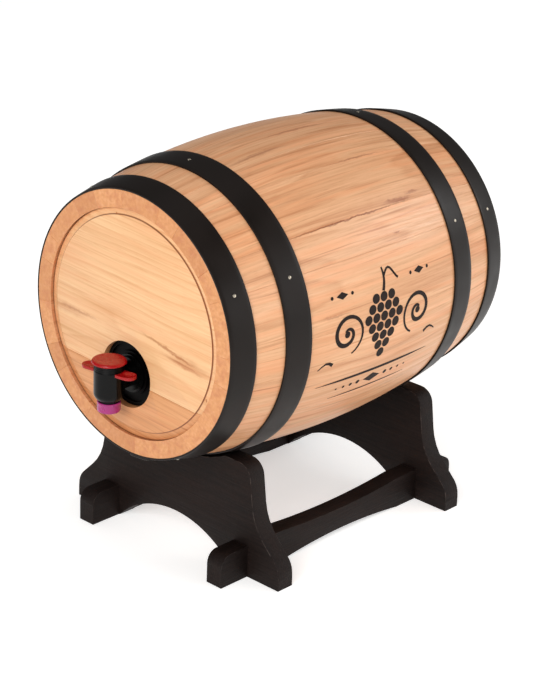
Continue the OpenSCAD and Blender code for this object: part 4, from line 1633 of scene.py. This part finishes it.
    def rail(self, name: str, x: float, number: int) -> None:
        """Saws one rail, its grain lengthwise.

        Args:
            name: the node's name.
            x: its middle, across the stand.
            number: which board of the stand it is.
        """
        outline = [Vector((x - self.rail_t / 2, FRONT_Y + y, z)) * MM for y, z in self.rail_outline()]
        piece = self.sawn(f"{name}_board", outline, ACROSS * self.rail_t * MM,
                          lambda co: co.z < 0.5 * MM or abs(co.z - self.halving * MM) < 0.5 * MM)
        lay_grain(piece, lambda co: (co.z / MM + 30 * number, co.y / MM + 700 * number, co.x / MM),
                  self.tone, BACKWARD, ACROSS)
        dressed(piece, "stand", self.finishes.stand, "black_wood", name)

    def build(self) -> None:
        """Saws the four boards."""
        front, rear = self.fronts
        self.cradle("front_cradle", front, front + self.board, 1)
        self.cradle("rear_cradle", rear, rear, 2)
        self.rail("left_rail", -self.rail_x, 3)
        self.rail("right_rail", self.rail_x, 4)


@dataclass
class KeptSolids:
    """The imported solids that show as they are, each with its finish."""

    finishes: Finishes

    def build(self) -> None:
        """Dresses them."""
        worn = {
            self.finishes.inside: ("rear_ring", "lid_battens"),
            self.finishes.nail: ("batten_screws",),
            self.finishes.magnet: ("lid_magnets", "ring_magnets"),
            self.finishes.black: ("tap_body", "bag_spout"),
            self.finishes.matt_black: ("tap_collar",),
            self.finishes.white: ("valve_stem",),
            self.finishes.rubber: ("valve_seal",),
        }
        for finish, names in worn.items():
            for name in names:
                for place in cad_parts[name].material_slots:
                    place.material = finish
                LOG.info("%s: %s", name, finish.name)


# ---------------------------------------------------------------- light and camera

@dataclass(frozen=True)
class SoftBox:
    """A square lamp: its name, its place in metres, its width and its power."""

    name: str
    place: Point
    width: float
    watts: float


@dataclass
class Studio:
    """A pale floor, soft lamps and the camera."""

    azimuth: float = 42.77
    elevation: float = 22.65
    roll: float = 2.11
    place: Point = (1297.8, -1388.0, 954.7)
    lens: float = 114.66
    aim: Point = (0, 0, 0.2)
    lamps: tuple[SoftBox, ...] = (
        SoftBox("key_over_camera", (0.9, -2.4, 1.5), 1.5, 46), SoftBox("fill_right", (2.4, 0.9, 1.0), 1.3, 14),
        SoftBox("rear_right", (1.5, 2.3, 1.3), 1.2, 23), SoftBox("top", (-0.3, 0.3, 2.4), 1.6, 3))
    sensor: float = 36.0
    view_end: float = 50.0
    floor_size: float = 12.0
    floor_drop: float = 0.0002
    floor_glow: float = 0.5
    plain_light: float = 0.42
    mirrored_light: float = 0.16

    def floor(self) -> None:
        """A wide white floor that shows white to the camera away from the object's shadow."""
        take()
        bpy.ops.mesh.primitive_plane_add(size=self.floor_size, location=(0, 0, -self.floor_drop))
        floor = named("studio_floor")
        s = Surface("floor_white_card")
        rays = add(s.tree, "LightPath").outputs
        shiny = s.math("MAXIMUM", rays["Is Glossy Ray"], rays["Is Transmission Ray"])
        seen = s.math("MAXIMUM", rays["Is Camera Ray"], shiny)
        s.shade({"Base Color": colour("F4F3F1"), "Roughness": 0.9, "Emission Color": (1, 1, 1, 1),
                 "Emission Strength": s.math("MULTIPLY", seen, self.floor_glow)})
        floor.data.materials.append(s.material)

    def world(self) -> None:
        """White to the camera, plain grey light elsewhere, and darker in reflections."""
        world = bpy.data.worlds.new("studio")
        bpy.context.scene.world = world
        world.use_nodes = True
        tree = world.node_tree
        rays = add(tree, "LightPath").outputs
        seen = add(tree, "Math", {0: rays["Is Camera Ray"], 1: rays["Is Transmission Ray"]}, operation="MAXIMUM")
        plain = add(tree, "MapRange", {0: rays["Is Glossy Ray"], 3: self.plain_light, 4: self.mirrored_light})
        feed(tree, tree.nodes["Background"], {"Color": (1, 1, 1, 1), "Strength": add(
            tree, "Mix", {0: seen, 2: plain, 3: 1.0})})

    def light(self, box: SoftBox) -> None:
        """Hangs a lamp that faces the object.

        Args:
            box: the lamp.
        """
        data = bpy.data.lights.new(box.name, "AREA")
        data.shape = "SQUARE"
        data.size = box.width
        data.energy = box.watts
        lamp = bpy.data.objects.new(box.name, data)
        bpy.context.scene.collection.objects.link(lamp)
        lamp.location = box.place
        lamp.rotation_euler = (Vector(self.aim) - Vector(box.place)).to_track_quat("-Z", "Y").to_euler()

    def camera(self) -> None:
        """The camera, a little above the cask and to its right, with a slight roll."""
        az, el, roll = (math.radians(a) for a in (self.azimuth, self.elevation, self.roll))
        right = Vector((math.cos(az), math.sin(az), 0))
        back = Vector((math.sin(az) * math.cos(el), -math.cos(az) * math.cos(el), math.sin(el)))
        up = back.cross(right)
        across = right * math.cos(roll) + up * math.sin(roll)
        over = up * math.cos(roll) - right * math.sin(roll)
        data = bpy.data.cameras.new("camera")
        data.lens = self.lens
        data.sensor_width = self.sensor
        data.sensor_fit = "AUTO"
        data.clip_end = self.view_end
        camera = bpy.data.objects.new("camera", data)
        bpy.context.scene.collection.objects.link(camera)
        turn = Matrix((across, over, back)).transposed().to_4x4()
        camera.matrix_world = Matrix.Translation(Vector(self.place) * MM) @ turn
        bpy.context.scene.camera = camera

    def build(self) -> None:
        """Sets the whole studio."""
        bpy.context.scene.view_settings.view_transform = "Standard"
        self.camera()
        self.floor()
        self.world()
        for box in self.lamps:
            self.light(box)


def main() -> None:
    """Builds the studio and the object, and reports each piece."""
    logging.basicConfig(level=logging.INFO, format="%(message)s")
    Studio().build()
    finishes = Finishes()
    for part in (KeptSolids, Stand, Staves, Hoops, Heads, PressTap, WineBag, BurntOrnament):
        part(finishes).build()
    take()


if __name__ == "__main__":
    main()
